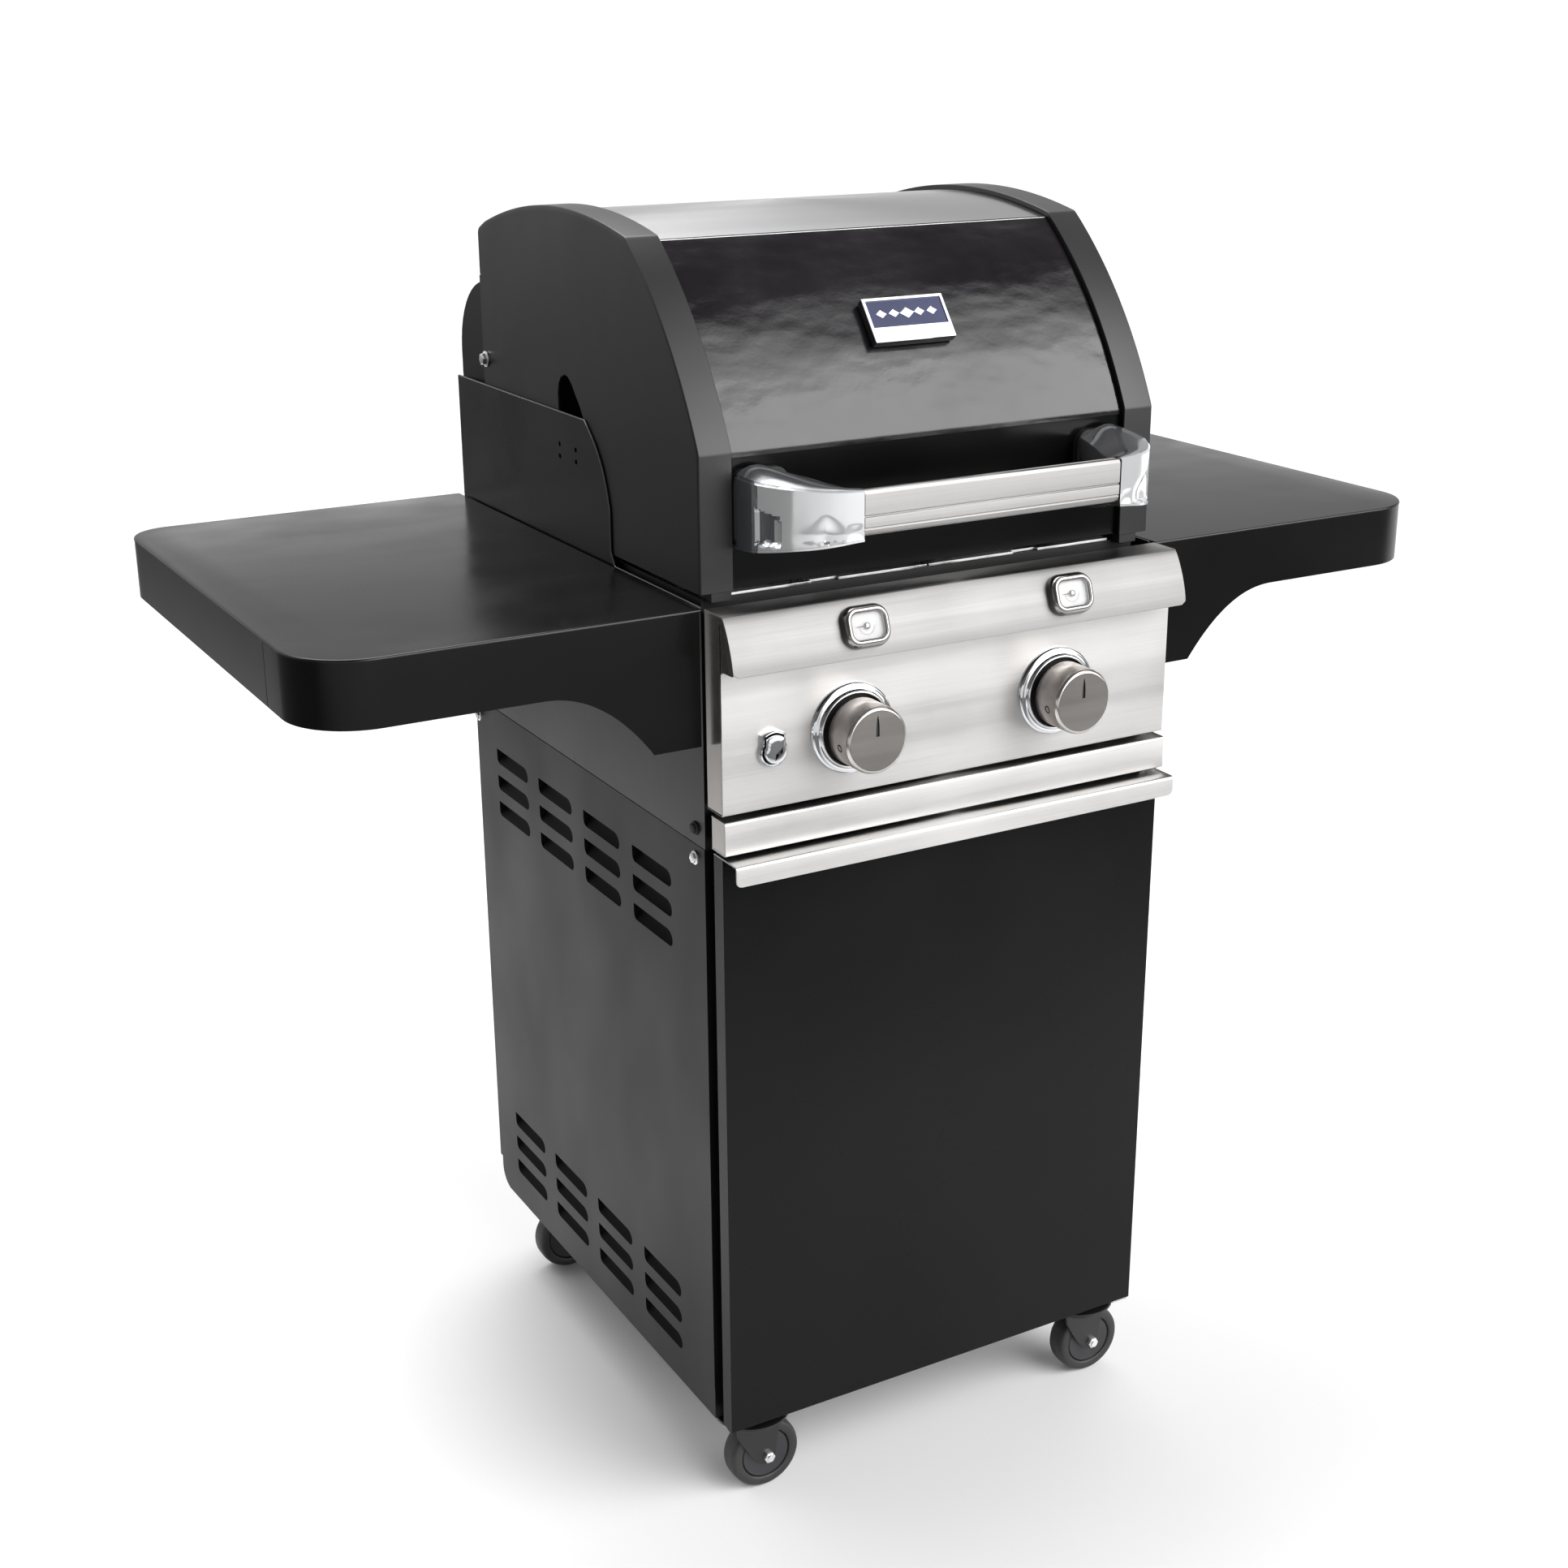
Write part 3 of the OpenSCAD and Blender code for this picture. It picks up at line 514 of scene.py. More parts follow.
def lid_pieces():
    front = shifted(points((LID_Y, 1050)) + FRONT_CURVE, RECESS)
    edge = fillet(front, [0, 5] + [0] * len(front))
    sheet_piece("lid_front_skin", edge, lambda p: SKIN, 1.5, "lid", M["enamel"], columns=24,
                nodes=("lid_front",), smooth=40, bevel=0.35)
    sheet_piece("lid_lower_skin", shifted(LOWER, RECESS + 1.4), lambda p: SKIN, 1.4, "lid", M["lid_low"],
                columns=4, nodes=("lid_lower",), bevel=0.3)
    roof = fillet(shifted(ROOF_CURVE + REAR, RECESS), [0] * 48 + [4, 5, 0, 0], 5)
    sheet_piece("lid_roof_skin", roof, lambda p: SKIN, 1.5, "lid", M["steel_roof"], columns=24,
                nodes=("lid_roof",), smooth=35, bevel=0.35)
    for side, tag in SIDES:
        lid_cap(side, tag)


CAP_X, CAP_IN = 243.4, 210.4    # outer and inner side of a cap
CAP_WALL = 2.0
EDGE_R = 1.9
LAP_OUT, LAP_IN = 8.4, 9.6      # depths of the lap that carries the skins
NOTCH = [(324, 1045), (324, 1070), (321.5, 1079), (316, 1085.5), (307, 1089), (299, 1087.5),
         (291, 1081.5), (283.5, 1073), (274, 1063), (266.5, 1052), (262, 1042)]


def lid_cap(side, tag):
    """Pressed end cap: side wall, rolled outer edge, front and roof band, inner lap."""
    path = points((LID_Y, LID_FOOT), (LID_Y, 965), (LID_Y, 1000), (LID_Y, 1030))
    path += FRONT_CURVE + ROOF_CURVE[1:] + REAR
    soft = fillet(path, [0, 0, 0, 0, 8] + [0] * 39 + [9] + [0] * 47 + [9, 9, 0], 5)
    lap = [(CAP_X - CAP_WALL, 5.0), (CAP_X - CAP_WALL, 4.0), (CAP_X - 3.6, CAP_WALL),
           (CAP_IN + 1.2, CAP_WALL), (CAP_IN + 1.2, LAP_IN), (CAP_IN - 9, LAP_IN),
           (CAP_IN - 9, LAP_OUT), (CAP_IN, LAP_OUT), (CAP_IN, 0.6), (CAP_IN + 0.6, 0.0)]
    roll = [tuple(q) for q in arc(CAP_X - EDGE_R, EDGE_R, EDGE_R, -90, 0, 6)]
    bm = bmesh.new()
    rows = [[bm.verts.new(P(side * x, p.x, p.y)) for p in shifted(soft, d)]
            for x, d in lap + roll + [(CAP_X, 5.0)]]
    grid_faces(bm, rows)
    for end in (0, -1):
        bm.faces.new([r[end] for r in rows])
    # the wall inside the rim, both faces, with its lower outline and the spit notch
    low = fillet([(REAR_Y, 1162), (REAR_Y, 1045)] + NOTCH + [(248, 1028), (236, 1010), (227, 985),
                 (224, 960), (224, LID_FOOT), (LID_Y + 5, LID_FOOT)], 2, 3)[:-1]
    walls = []
    for x, row in ((CAP_X, rows[-1]), (CAP_X - CAP_WALL, rows[0])):
        extra = [bm.verts.new(P(side * x, p.x, p.y)) for p in low]
        bm.faces.new(row + extra)
        walls.append([row[-1]] + extra + [row[0]])
    grid_faces(bm, walls)
    bmesh.ops.triangulate(bm, faces=[f for f in bm.faces if len(f.verts) > 8])
    from_bm("lid_cap_shell_" + tag, bm, "lid", M["cap"], nodes=("lid_cap_" + tag,),
            smooth=24)


# ---- pressed louvre panels
SIDE_X = 245.5                  # outer face of a side panel
LOUVRE_Y = [101 + 112.8 * c for c in range(4)]
LOUVRE_Z = [z + 30.4 * r for z in (133, 577) for r in range(3)]
LOUVRE_L, LOUVRE_H, LOUVRE_DEEP = 84.0, 16.0, 9.0
# where the sheet is divided along and up a louvre: finer where it bends
LOUVRE_U = (0, 0.3, 0.9, 1.8, 3, 4.4, 6, 7.8, 9.4, 11, 13.5, 17, 22, 30, 42, 56, 68, 74,
            77, 78.6, 80, 81.2, 82.2, 83.0, 83.6, 84.0, 92)
LOUVRE_W = (0, 0.5, 1.2, 2.2, 4, 6.5, 9, 11.5, 14, 15.6, 16.0, 16.25)
TOP_R, LOW_R, REAR_R = 11, 5.6, 7       # corner radii of a louvre


def ease(t):
    t = max(0.0, min(1.0, t))
    return t * t * (3 - 2 * t)


def louvre_bounds(u):
    """Lower and upper edge of a louvre at a distance u from its front end."""
    low = top = 0.0
    if u < TOP_R:
        top = (TOP_R - math.sqrt(TOP_R ** 2 - (TOP_R - u) ** 2)) * 0.88
    if u < LOW_R:
        low = LOW_R - math.sqrt(LOW_R ** 2 - (LOW_R - u) ** 2)
    if u > LOUVRE_L - REAR_R:
        low = REAR_R - math.sqrt(max(0.0, REAR_R ** 2 - (u - LOUVRE_L + REAR_R) ** 2))
    return low, LOUVRE_H - top


def pressed(y, z):
    """Height and depth of a point of the sheet once the louvres are pressed in."""
    for u in (y - y0 for y0 in LOUVRE_Y):
        if not -0.001 <= u <= LOUVRE_L + 0.001:
            continue
        low, top = louvre_bounds(u)
        for z0 in LOUVRE_Z:
            w = (z - z0) / LOUVRE_H
            if 0 <= w <= 1.001:
                front = math.sqrt(ease(u / 5.0))
                rear = ease((LOUVRE_L - u) / 1.2)
                rise = math.sin(min(1.0, w * 1.02) * math.pi / 2) ** 0.85 if w > 0 else 0.0
                return z0 + low + w * (top - low), LOUVRE_DEEP * front * rear * rise
            if 1.001 < w < 1.03:
                return z0 + top + 0.25, 0.0
    return z, 0.0


def border(rows):
    """The outer loop of a grid of vertices."""
    return ([r[0] for r in rows] + rows[-1][1:] + [r[-1] for r in reversed(rows[:-1])]
            + list(reversed(rows[0][1:-1])))


def side_panel(side, tag):
    ys = [31.6, 40, 60, 85, 560, 570, 578] + [y0 + d for y0 in LOUVRE_Y for d in LOUVRE_U]
    zs = [129.5, 131, 230, 300, 380, 460, 540, 665, 690, 699]
    zs += [z0 + d for z0 in LOUVRE_Z for d in LOUVRE_W]
    ys, zs = (sorted(set(round(v, 3) for v in line)) for line in (ys, zs))

    def point(y, z, back):
        height, deep = pressed(y, z)
        return P(side * (SIDE_X - back - deep), y, height)

    bm = bmesh.new()
    sheets = [[[bm.verts.new(point(y, z, back)) for y in ys] for z in zs] for back in (0, 1.5)]
    for rows in sheets:
        for f in grid_faces(bm, rows):
            # faces bent into a louvre or lying deep in it take the darker copy of the powder: painted shade
            xs = [abs(v.co.x) for v in f.verts]
            if max(xs) - min(xs) > 0.2 * MM or min(xs) < (SIDE_X - 2.5) * MM:
                f.material_index = 1
    grid_faces(bm, [border(rows) for rows in sheets], close=True)
    o = from_bm("side_sheet_" + tag, bm, "cart", [M["side"], M["scoop"]],
                nodes=("side_panel_" + tag,), smooth=35)
    for f in o.data.polygons:
        if abs(f.normal.x) > 0.99999:
            f.use_smooth = False
    # folded front and rear returns
    for y0, y1, part in ((31.6, 33.1, "front"), (576.5, 578, "rear")):
        box_piece("side_return_%s_%s" % (part, tag), (side * 244.2, y0, 129.5),
                  (side * (SIDE_X - 12), y1, 699), "cart", M["side"], bevel=0.3)


# a block's faces by corner, which are numbered x first, then y, then z
BOX_FACES = ((0, 1, 3, 2), (4, 6, 7, 5), (0, 4, 5, 1), (2, 3, 7, 6), (0, 2, 6, 4), (1, 5, 7, 3))


def box_piece(name, a, b, body, mats, bevel=0.4, **kw):
    """A softened block between two corners, for small plain folds and bars."""
    bm = bmesh.new()
    xs, ys, zs = (sorted(pair) for pair in zip(a, b))
    v = [bm.verts.new(P(x, y, z)) for x in xs for y in ys for z in zs]
    for corners in BOX_FACES:
        bm.faces.new([v[k] for k in corners])
    return from_bm(name, bm, body, mats, bevel=bevel, **kw)


# ---- stainless front
def rounded_end(half, z, r):
    """Half width of a sheet whose lower corners, below z, are rounded."""
    def extent(p):
        d = min(max(0.0, z - p.y), r)
        return half - (r - math.sqrt(max(0.0, r * r - d ** 2)))
    return extent


FACE_HALF = 244.4       # half width of the panel face and the drip tray front


def front_pieces():
    # hood: roof lip, curved face, tucked lower edge
    arc_down = bowed((-9.5, 924), (-28.5, 875), -3, 16)
    hood = fillet([(24, 925), (-8.3, 925), arc_down[1]], [0, 2.2, 0])[:-1] + arc_down[1:]
    sheet_piece("hood_face", hood, rounded_end(245.3, 880, 5.0), -1.5, "cart", M["steel_soft"],
                columns=24, nodes=("hood",), smooth=40, bevel=0.35)
    # end faces of hood and panel: one stainless side return each
    under = shifted(hood, -1.6)
    out = points((25.5, 741), (-2.0, 741), (-2.0, 868), (-4, 873.4), (-8, 875), (-24, 875.6),
                 (-26, 876.6)) + under[::-1][1:-1] + points((25.5, under[0].y))
    for side, tag in SIDES:
        loft_piece("front_return_" + tag, [(out, FACE_HALF), (out, 243.0)],
                   lambda u, v, h, side=side: P(side * h, u, v), "cart", M["steel_z"], bevel=0.3)
    # control panel face with its openings hidden behind the bezels
    face = fillet([(25, 741.5), (-3.5, 741.5), (-3.5, 873), (-3.5, 918)], [0, 1.6, 0, 0], 5)
    sheet_piece("panel_face", face, lambda p: FACE_HALF, 1.4, "cart", M["steel"], columns=24,
                nodes=("control_panel",), smooth=40, bevel=0.4)
    # drip tray front: a box-folded strip
    strip = fillet([(18.6, 736.4), (-7.4, 736.4), (-7.4, 704.6), (18.6, 704.6)], [0, 2.6, 1.8, 0])
    sheet_piece("drip_front_strip", strip, lambda p: FACE_HALF, -1.4, "drip_tray", M["steel"],
                columns=24, nodes=("drip_front",), smooth=40, bevel=0.35)
    for side, tag in SIDES:
        box_piece("drip_front_end_" + tag, (side * 244.3, -6.0, 705.4), (side * 243, 18.6, 735.6),
                  "drip_tray", M["steel_z"], bevel=0.5)
        box_piece("drip_front_arm_" + tag, (side * 189, -5.8, 708), (side * 187.5, 20, 732),
                  "drip_tray", M["zinc"], bevel=0.3)
    # door handle: top flange, bend, front lip with rounded ends
    lip = fillet([(17, 701), (-26, 701), (-26, 681.4)], [0, 3.4, 0], 8)[:-1]
    lip += points(*((-26, 695 - 13.6 * (k / 12) ** 0.7) for k in range(1, 13)))
    sheet_piece("door_handle_strip", lip, rounded_end(243.7, 687.4, 6.0), -1.4, "door", M["steel"],
                columns=24, nodes=("door_handle",), smooth=40, bevel=0.35)


# ---- knobs and bezels
KNOB_X, KNOB_Z = 112.5, 803.5
KNOB_LONG = 48.6        # from the door face to the knob's front rim
# bezel and knob, turned: radius and distance from the door face
BEZEL = [(12.5, 4.2), (33.6, 4.2), (33.6, 11.2), (34.2, 12.0), (35.2, 12.2), (36.0, 11.6), (36.3, 9.8),
         (37.2, 8.4), (38.8, 7.9), (40.6, 7.6), (42.0, 6.6), (42.9, 5.0), (43.0, 3.5), (12.5, 3.5)]
KNOB = [(0, 12.4), (27, 12.4), (28.6, 12.8), (29.0, 14.2), (30.8, 15.0), (31.4, 16.0), (31.5, 45.2),
        (31.2, 46.2), (29.4, 48.1), (28.8, 48.5), (28.1, KNOB_LONG), (28.1, 46.9), (0, 46.9)]
STEM = [(0, -25), (3.6, -25), (3.95, -24.6), (3.95, 12.6), (0, 12.6)]
SCREW = [(3.8, 0.2), (3.4, 0.75), (2.8, 0.8), (2.4, 0.1), (2.1, -0.5), (0, -0.5)]


def knob_pieces():
    ax = (0, -1, 0)
    for side, tag in SIDES:
        c = P(side * KNOB_X, 0, KNOB_Z)
        soft = BEZEL[:2] + [tuple(p) for p in fillet(BEZEL[1:], 1.2, 4)][1:]
        lathe_piece("knob_bezel_" + tag, soft, c, ax, "cart", [M["chrome"], M["gasket"]],
                    parts=[1, 1] + [0] * (len(soft) - 3), nodes=("knob_bezels",), smooth=50, steps=128)
        body = "dial_" + tag
        lathe_piece("knob_body_" + tag, KNOB, c, ax, body, [M["knob"], M["knob_edge"]],
                    parts=[0] * 7 + [1] * 3 + [0, 0], nodes=("knob_" + tag,),
                    smooth=35, steps=128)
        lathe_piece("knob_stem_" + tag, STEM, c, ax, body, M["zinc"], steps=32)
        knob_face(c, body, tag)
        # grub screw in the side of the knob
        low = math.radians(11)
        out = Vector((-math.cos(low), 0, -math.sin(low)))
        lathe_piece("knob_screw_" + tag, SCREW, c + Vector((0, -34.5 * MM, 0)) + out * 31.0 * MM, out,
                    body, M["gasket"], steps=24)


def knob_face(c, body, tag):
    """A face disc with a tapered pointer groove cut in."""
    bm = bmesh.new()
    rim = arc(0, 0, 28, 0, 360, 128)[:-1]
    groove = points((-1.7, 4), (1.7, 4), (1.75, 10), (1.5, 15), (0.9, 19.5), (0.25, 23), (-0.25, 23),
                    (-0.9, 19.5), (-1.5, 15), (-1.75, 10))

    def place(u, v, h):
        return c + Vector((u, h - KNOB_LONG, v)) * MM

    outer, inner = vert_row(bm, place, rim, 0.0), vert_row(bm, place, groove, 0.0)
    deep = vert_row(bm, place, groove, 1.3)
    edges = [bm.edges.new((loop[k], loop[(k + 1) % len(loop)]))
             for loop in (outer, inner) for k in range(len(loop))]
    bmesh.ops.triangle_fill(bm, use_beauty=True, use_dissolve=False, edges=edges)
    for f in grid_faces(bm, [inner, deep], close=True) + [bm.faces.new(deep)]:
        f.material_index = 1
    under = vert_row(bm, place, rim, 1.65)
    grid_faces(bm, [outer, under], close=True)
    bm.faces.new(under)
    from_bm("knob_face_" + tag, bm, body, [M["knob_face"], M["gasket"]], smooth=25)


# ---- gauges
TILT = math.radians(70.7)
G_V = Vector((0, math.cos(TILT), math.sin(TILT)))
G_N = Vector((0, -math.sin(TILT), math.cos(TILT)))
# a gauge's bezel from the hood outwards: width, height, corner radius, distance from the hood
GAUGE = ((50, 45, 15, -1.5), (50.6, 45.6, 15, 0.8), (50, 45, 14.6, 3.0), (48, 43, 13.6, 6.0),
         (45.4, 39.6, 12, 8.4), (42.6, 36.4, 10.6, 9.5), (39.6, 32.4, 9.2, 9.8), (38.6, 31.2, 8.8, 9.5),
         (37.8, 30.4, 8.4, 8.3), (37.4, 30, 8.2, 8.6), (36.6, 29.2, 7.8, 9.1), (35.6, 28.2, 7.4, 8.9),
         (35.1, 27.7, 7, 7.6), (34.9, 27.5, 6.8, 4.4))
DIAL = ((35, 27.6, 7, 4.0), (35, 27.6, 7, 4.7))
LENS = ((34.8, 27.4, 6.8, 8.0), (34, 26.6, 6.4, 8.5), (26, 19, 5, 8.8))
PIVOT = [(0, 4.6), (2.0, 4.6), (3.0, 5.2), (3.1, 6.4), (2.4, 7.1), (0, 7.3)]
SCALE_R, SCALE_H = 7.4, 4.78            # radius of the printed scale and its distance from the hood
POINTER = points((-10.5, -0.25), (-2.4, -0.75), (-2.4, 0.75), (-10.5, 0.25))


def gauge_sections(table):
    return [(rr_outline(w * 0.92, h * 0.83, r * 0.85, 8, 0.03), at) for w, h, r, at in table]


def gauge_pieces():
    for side, tag in SIDES:
        o = P(side * 111, -21.5, 901.5)

        def place(u, v, h, o=o):
            return o + Vector((u * MM, 0, 0)) + G_V * (v * MM) + G_N * (h * MM)

        loft_piece("gauge_bezel_" + tag, gauge_sections(GAUGE), place, "cart", M["dark_chrome"],
                   cap=(False, False), nodes=("gauge_bezels",), smooth=60)
        loft_piece("gauge_dial_" + tag, gauge_sections(DIAL), place, "cart", M["dial"],
                   nodes=("gauge_dials",))
        gauge_scale(place, tag)
        body = "gauge_needle_" + tag
        loft_piece("gauge_pointer_" + tag, [(POINTER, 5.5), (POINTER, 6.0)], place, body, M["needle"],
                   nodes=("needle_" + tag,))
        lathe_piece("gauge_pivot_" + tag, PIVOT, o, G_N, body, M["dark_chrome"], steps=32, smooth=50)
        loft_piece("gauge_lens_" + tag, gauge_sections(LENS), place, "cart", M["lens"], cap=(False, True),
                   nodes=("gauge_lenses",), smooth=60)


def gauge_scale(place, tag):
    """The printed scale: an arc line and small ticks."""
    bm = bmesh.new()
    grid_faces(bm, [vert_row(bm, place, arc(0, 0, r, 180, 360, 40), SCALE_H)
                    for r in (SCALE_R, SCALE_R + 0.35)])
    for k in range(13):
        a = math.radians(180 + 15 * k)
        along_tick, across = Vector((math.cos(a), math.sin(a))), Vector((-math.sin(a), math.cos(a))) * 0.12
        near = along_tick * (SCALE_R + 0.8)
        far = near + along_tick * (1.8 if k % 3 == 0 else 1.0)
        bm.faces.new(vert_row(bm, place, (near - across, far - across, far + across, near + across), SCALE_H))
    from_bm("gauge_scale_" + tag, bm, "cart", M["print"])


# ---- igniter
def shield(top_w, top_h, r, cz, seg=20):
    """Shield outline: bowed top, straight sides, and a round lower lobe of radius r at cz."""
    hw = top_w / 2
    join = cz + math.sqrt(max(0.0, r * r - hw * hw))
    top = points(*((hw - 2 * hw * k / 8, top_h + 3.9 * math.sin(math.pi * k / 8)) for k in range(9)))
    start = math.degrees(math.atan2(join - cz, -hw))
    lobe = arc(0, cz, r, start, 540 - start, seg)
    return top + points((-hw, join + 1.5)) + lobe + points((hw, join + 1.5))


def scaled(pts, s, cz=0.0):
    return [Vector((p.x * s, cz + (p.y - cz) * s)) for p in pts]


def igniter_pieces():
    c = P(-195, 0, 799)

    def place(u, v, h):
        return c + Vector((u * MM, -h * MM, v * MM))

    out = shield(23.5, 12.7, 14.2, -3.4)
    ring = [(scaled(out, k), h) for k, h in (
        (1.0, 3.5), (1.01, 5.0), (0.985, 7.6), (0.945, 9.2), (0.90, 9.6), (0.86, 9.0), (0.845, 7.6),
        (0.84, 4.2))]
    loft_piece("igniter_ring", ring, place, "cart", M["chrome"], cap=(False, False),
               nodes=("igniter_bezel",), smooth=50)
    loft_piece("igniter_well", [(scaled(out, 0.85), 3.9), (scaled(out, 0.85), 4.4)], place, "cart",
               M["gasket"])
    btn = scaled(out, 0.76)
    key = [(btn, 7.7), (btn, 12.2)]
    key += [(scaled(btn, k), h) for k, h in ((0.97, 13.0), (0.90, 13.5), (0.6, 13.6))]
    loft_piece("igniter_key", key, place, "igniter", M["chrome"], nodes=("igniter_button",), smooth=50)
    bolt = points((6.2, 1.7), (-0.7, -3.9), (2.2, -4.4), (-1.7, -10.2), (5.7, -4.0), (2.9, -3.7))
    bm = bmesh.new()
    rows = [vert_row(bm, place, bolt, h) for h in (13.5, 13.75)]
    grid_faces(bm, rows, close=True)
    bmesh.ops.triangulate(bm, faces=[bm.faces.new(rows[1])])
    from_bm("igniter_bolt_mark", bm, "igniter", M["gasket"])


# ---- badge
B_T = math.radians(52.4)
B_V = Vector((0, math.cos(B_T), math.sin(B_T)))
B_N = Vector((0, -math.sin(B_T), math.cos(B_T)))
FIELD_V = 5.9           # the blue field's middle lies this far above the badge's


def badge_pieces():
    sunk = 1.6
    o = P(0, 88.5, 1147) - B_N * sunk * MM

    def place(u, v, h):
        return o + Vector((u * MM, 0, 0)) + B_V * (v * MM) + B_N * (h * MM)

    def rect(w, h, dy=0.0, r=0.8):
        return [Vector((p.x, p.y + dy)) for p in rr_outline(w, h, r, 3)]

    block = [(rect(85, 44.5), -2.2), (rect(86, 45), 0), (rect(86, 45), 5.6), (rect(85.4, 44.4), 6.0)]
    loft_piece("badge_block", block, place, "lid", M["badge_side"], cap=(True, False),
               nodes=("badge_plate",))
    bm = bmesh.new()
    outer0 = vert_row(bm, place, rect(86, 45), 5.5)
    outer1 = vert_row(bm, place, rect(85.2, 44.2), 6.4)
    in1 = vert_row(bm, place, rect(80, 27.4, FIELD_V, 0.5), 6.4)
    in0 = vert_row(bm, place, rect(79.6, 27.0, FIELD_V, 0.5), 5.2)
    for pair in ((outer0, outer1), (in1, in0), (outer1, in1)):
        grid_faces(bm, pair, close=True)
    from_bm("badge_frame", bm, "lid", M["chrome"], smooth=25)
    loft_piece("badge_field", [(rect(80.4, 27.8, FIELD_V), 5.0), (rect(80.4, 27.8, FIELD_V), 5.4)],
               place, "lid", M["blue"])
    # a plain row of lozenges
    for k in range(5):
        w, h = (7.6, 5.6) if k == 2 else (5.6, 4.0)
        mid = Vector(((k - 2) * 13.5, FIELD_V))
        pts = [mid + q for q in points((w, 0), (0, h), (-w, 0), (0, -h))]
        small = [mid + (p - mid) * 0.8 for p in pts]
        loft_piece("badge_stud_%d" % k, [(pts, 5.2), (pts, 5.9), (small, 6.3)], place, "lid",
                   M["chrome"], smooth=20)


# ---- lid handle
BAR_HALF = 134.0
BAR_Y, BAR_Z = -50.5, 1011.5


def handle_pieces():
    # the bar's section, with two grooves along its face
    sec = fillet([(-8.0, 19.5), (-9.5, 17), (-9.5, -1.2), (-8.4, -1.9), (-8.4, -2.7), (-9.5, -3.4),
                  (-9.5, -11.8), (-8.6, -12.4), (-8.6, -13.2), (-9.3, -13.8), (-8.2, -17.6),
                  (-6.0, -19.5), (2, -19.5), (4.5, -16), (4.5, 16), (2, 19.5), (-8.0, 19.5)],
                 [0, 2.5, .4, .3, .3, .4, .4, .3, .3, .8, 3, 3, 3, 3, 3, 3, 0], 4)[:-1]
    loft_piece("lid_handle_bar", [(sec, BAR_HALF * (k / 12 - 1)) for k in range(25)],
               lambda u, v, h: P(h, BAR_Y + u, BAR_Z + v), "lid", M["bar"], nodes=("handle_bar",), smooth=28)
    box_piece("lid_handle_core", (-BAR_HALF - 3, -56.5, 996), (BAR_HALF + 3, -48, 1027), "lid",
              M["gasket"])
    for side, tag in SIDES:
        handle_bracket(side, tag)


# outer x, y; inner x, y; height of the outer edge, ridge, inner edge and underside, from lid to bar
ARM = [(-209, 33, -157, 33, 1036, 1044, 1034, 972),
       (-208.8, 20, -154, 22, 1035.6, 1043.4, 1033.5, 972.6),
       (-208, 8, -150.5, 10, 1035.3, 1042, 1033, 973.6),
       (-205.4, -3, -147, -1, 1035, 1040.5, 1032, 975),
       (-200.8, -13.5, -144, -11, 1034.8, 1039, 1031, 976.6),
       (-194.3, -25, -141, -19, 1034.5, 1037.5, 1030.3, 978.6),
       (-186.5, -35.5, -138.5, -26, 1034.2, 1036.3, 1029.8, 980.6),
       (-177, -46, -136.5, -32, 1033.9, 1035.2, 1029.4, 982.6),
       (-166, -53.5, -135.9, -36, 1033.5, 1034.5, 1029.2, 984.5),
       (-155, -57.5, -135.5, -39, 1033, 1033.8, 1029, 986),
       (-145, -59.6, -135.2, -41, 1032.7, 1033.3, 1029, 987.3),
       (-135, -60.6, -135, -42, 1032.4, 1032.8, 1029, 988)]
CREASE_X, CREASE_TOP, CREASE_DEEP = -168.0, 1015.0, 5.0
POCKET_OUT, POCKET_IN, POCKET_LOW, POCKET_DEEP = -206.8, -195.0, 982.0, 4.0
FOLD_LOW = 988.0
DIMPLE_X, DIMPLE_LOW, DIMPLE_H, DIMPLE_DEEP = -151.0, 989.0, 15.0, 1.5
ARM_LIP = 1.6
FACE_STEPS = 36


def along(table, t):
    """Smooth values between the rows of a table."""
    k = min(int(t), len(table) - 2)
    f = t - k
    a, b, c, d = (table[min(max(k + o, 0), len(table) - 1)] for o in (-1, 0, 1, 2))
    return [0.5 * (2 * q + (r - p) * f + (2 * p - 5 * q + 4 * r - w) * f ** 2
                   + (3 * q - p - 3 * r + w) * f ** 3) for p, q, r, w in zip(a, b, c, d)]


def arm_press(x, y, z):
    """How far the front of the arm is pressed in: a pocket by the lid and a V fold near the bar."""
    deep = 0.0
    if POCKET_OUT < x < POCKET_IN and y < 2:
        edge = 1013.0 - 0.75 * (x + 206.5)
        if POCKET_LOW < z < edge:
            deep = POCKET_DEEP * min(1.0, (edge - z) / 1.6, (POCKET_IN - x) / 0.8,
                                     (x - POCKET_OUT) / 0.8, (z - POCKET_LOW) / 3)
    if FOLD_LOW < z < CREASE_TOP:
        t = min(1.0, (CREASE_TOP - z) / 20.0)
        wide = (3.0 + 5.0 * t) if x < CREASE_X else (4.0 + 8.0 * t)
        valley = math.exp(-abs((x - CREASE_X) / wide) ** 1.6)
        deep += CREASE_DEEP * ease(t) * valley * min(1.0, (z - FOLD_LOW) / 1.2)
    if x > DIMPLE_X and DIMPLE_LOW < z < DIMPLE_LOW + DIMPLE_H:
        over = math.sin(math.pi * min(1.0, (x - DIMPLE_X) / 16))
        deep += DIMPLE_DEEP * over * math.sin(math.pi * (z - DIMPLE_LOW) / DIMPLE_H)
    return max(0.0, deep)


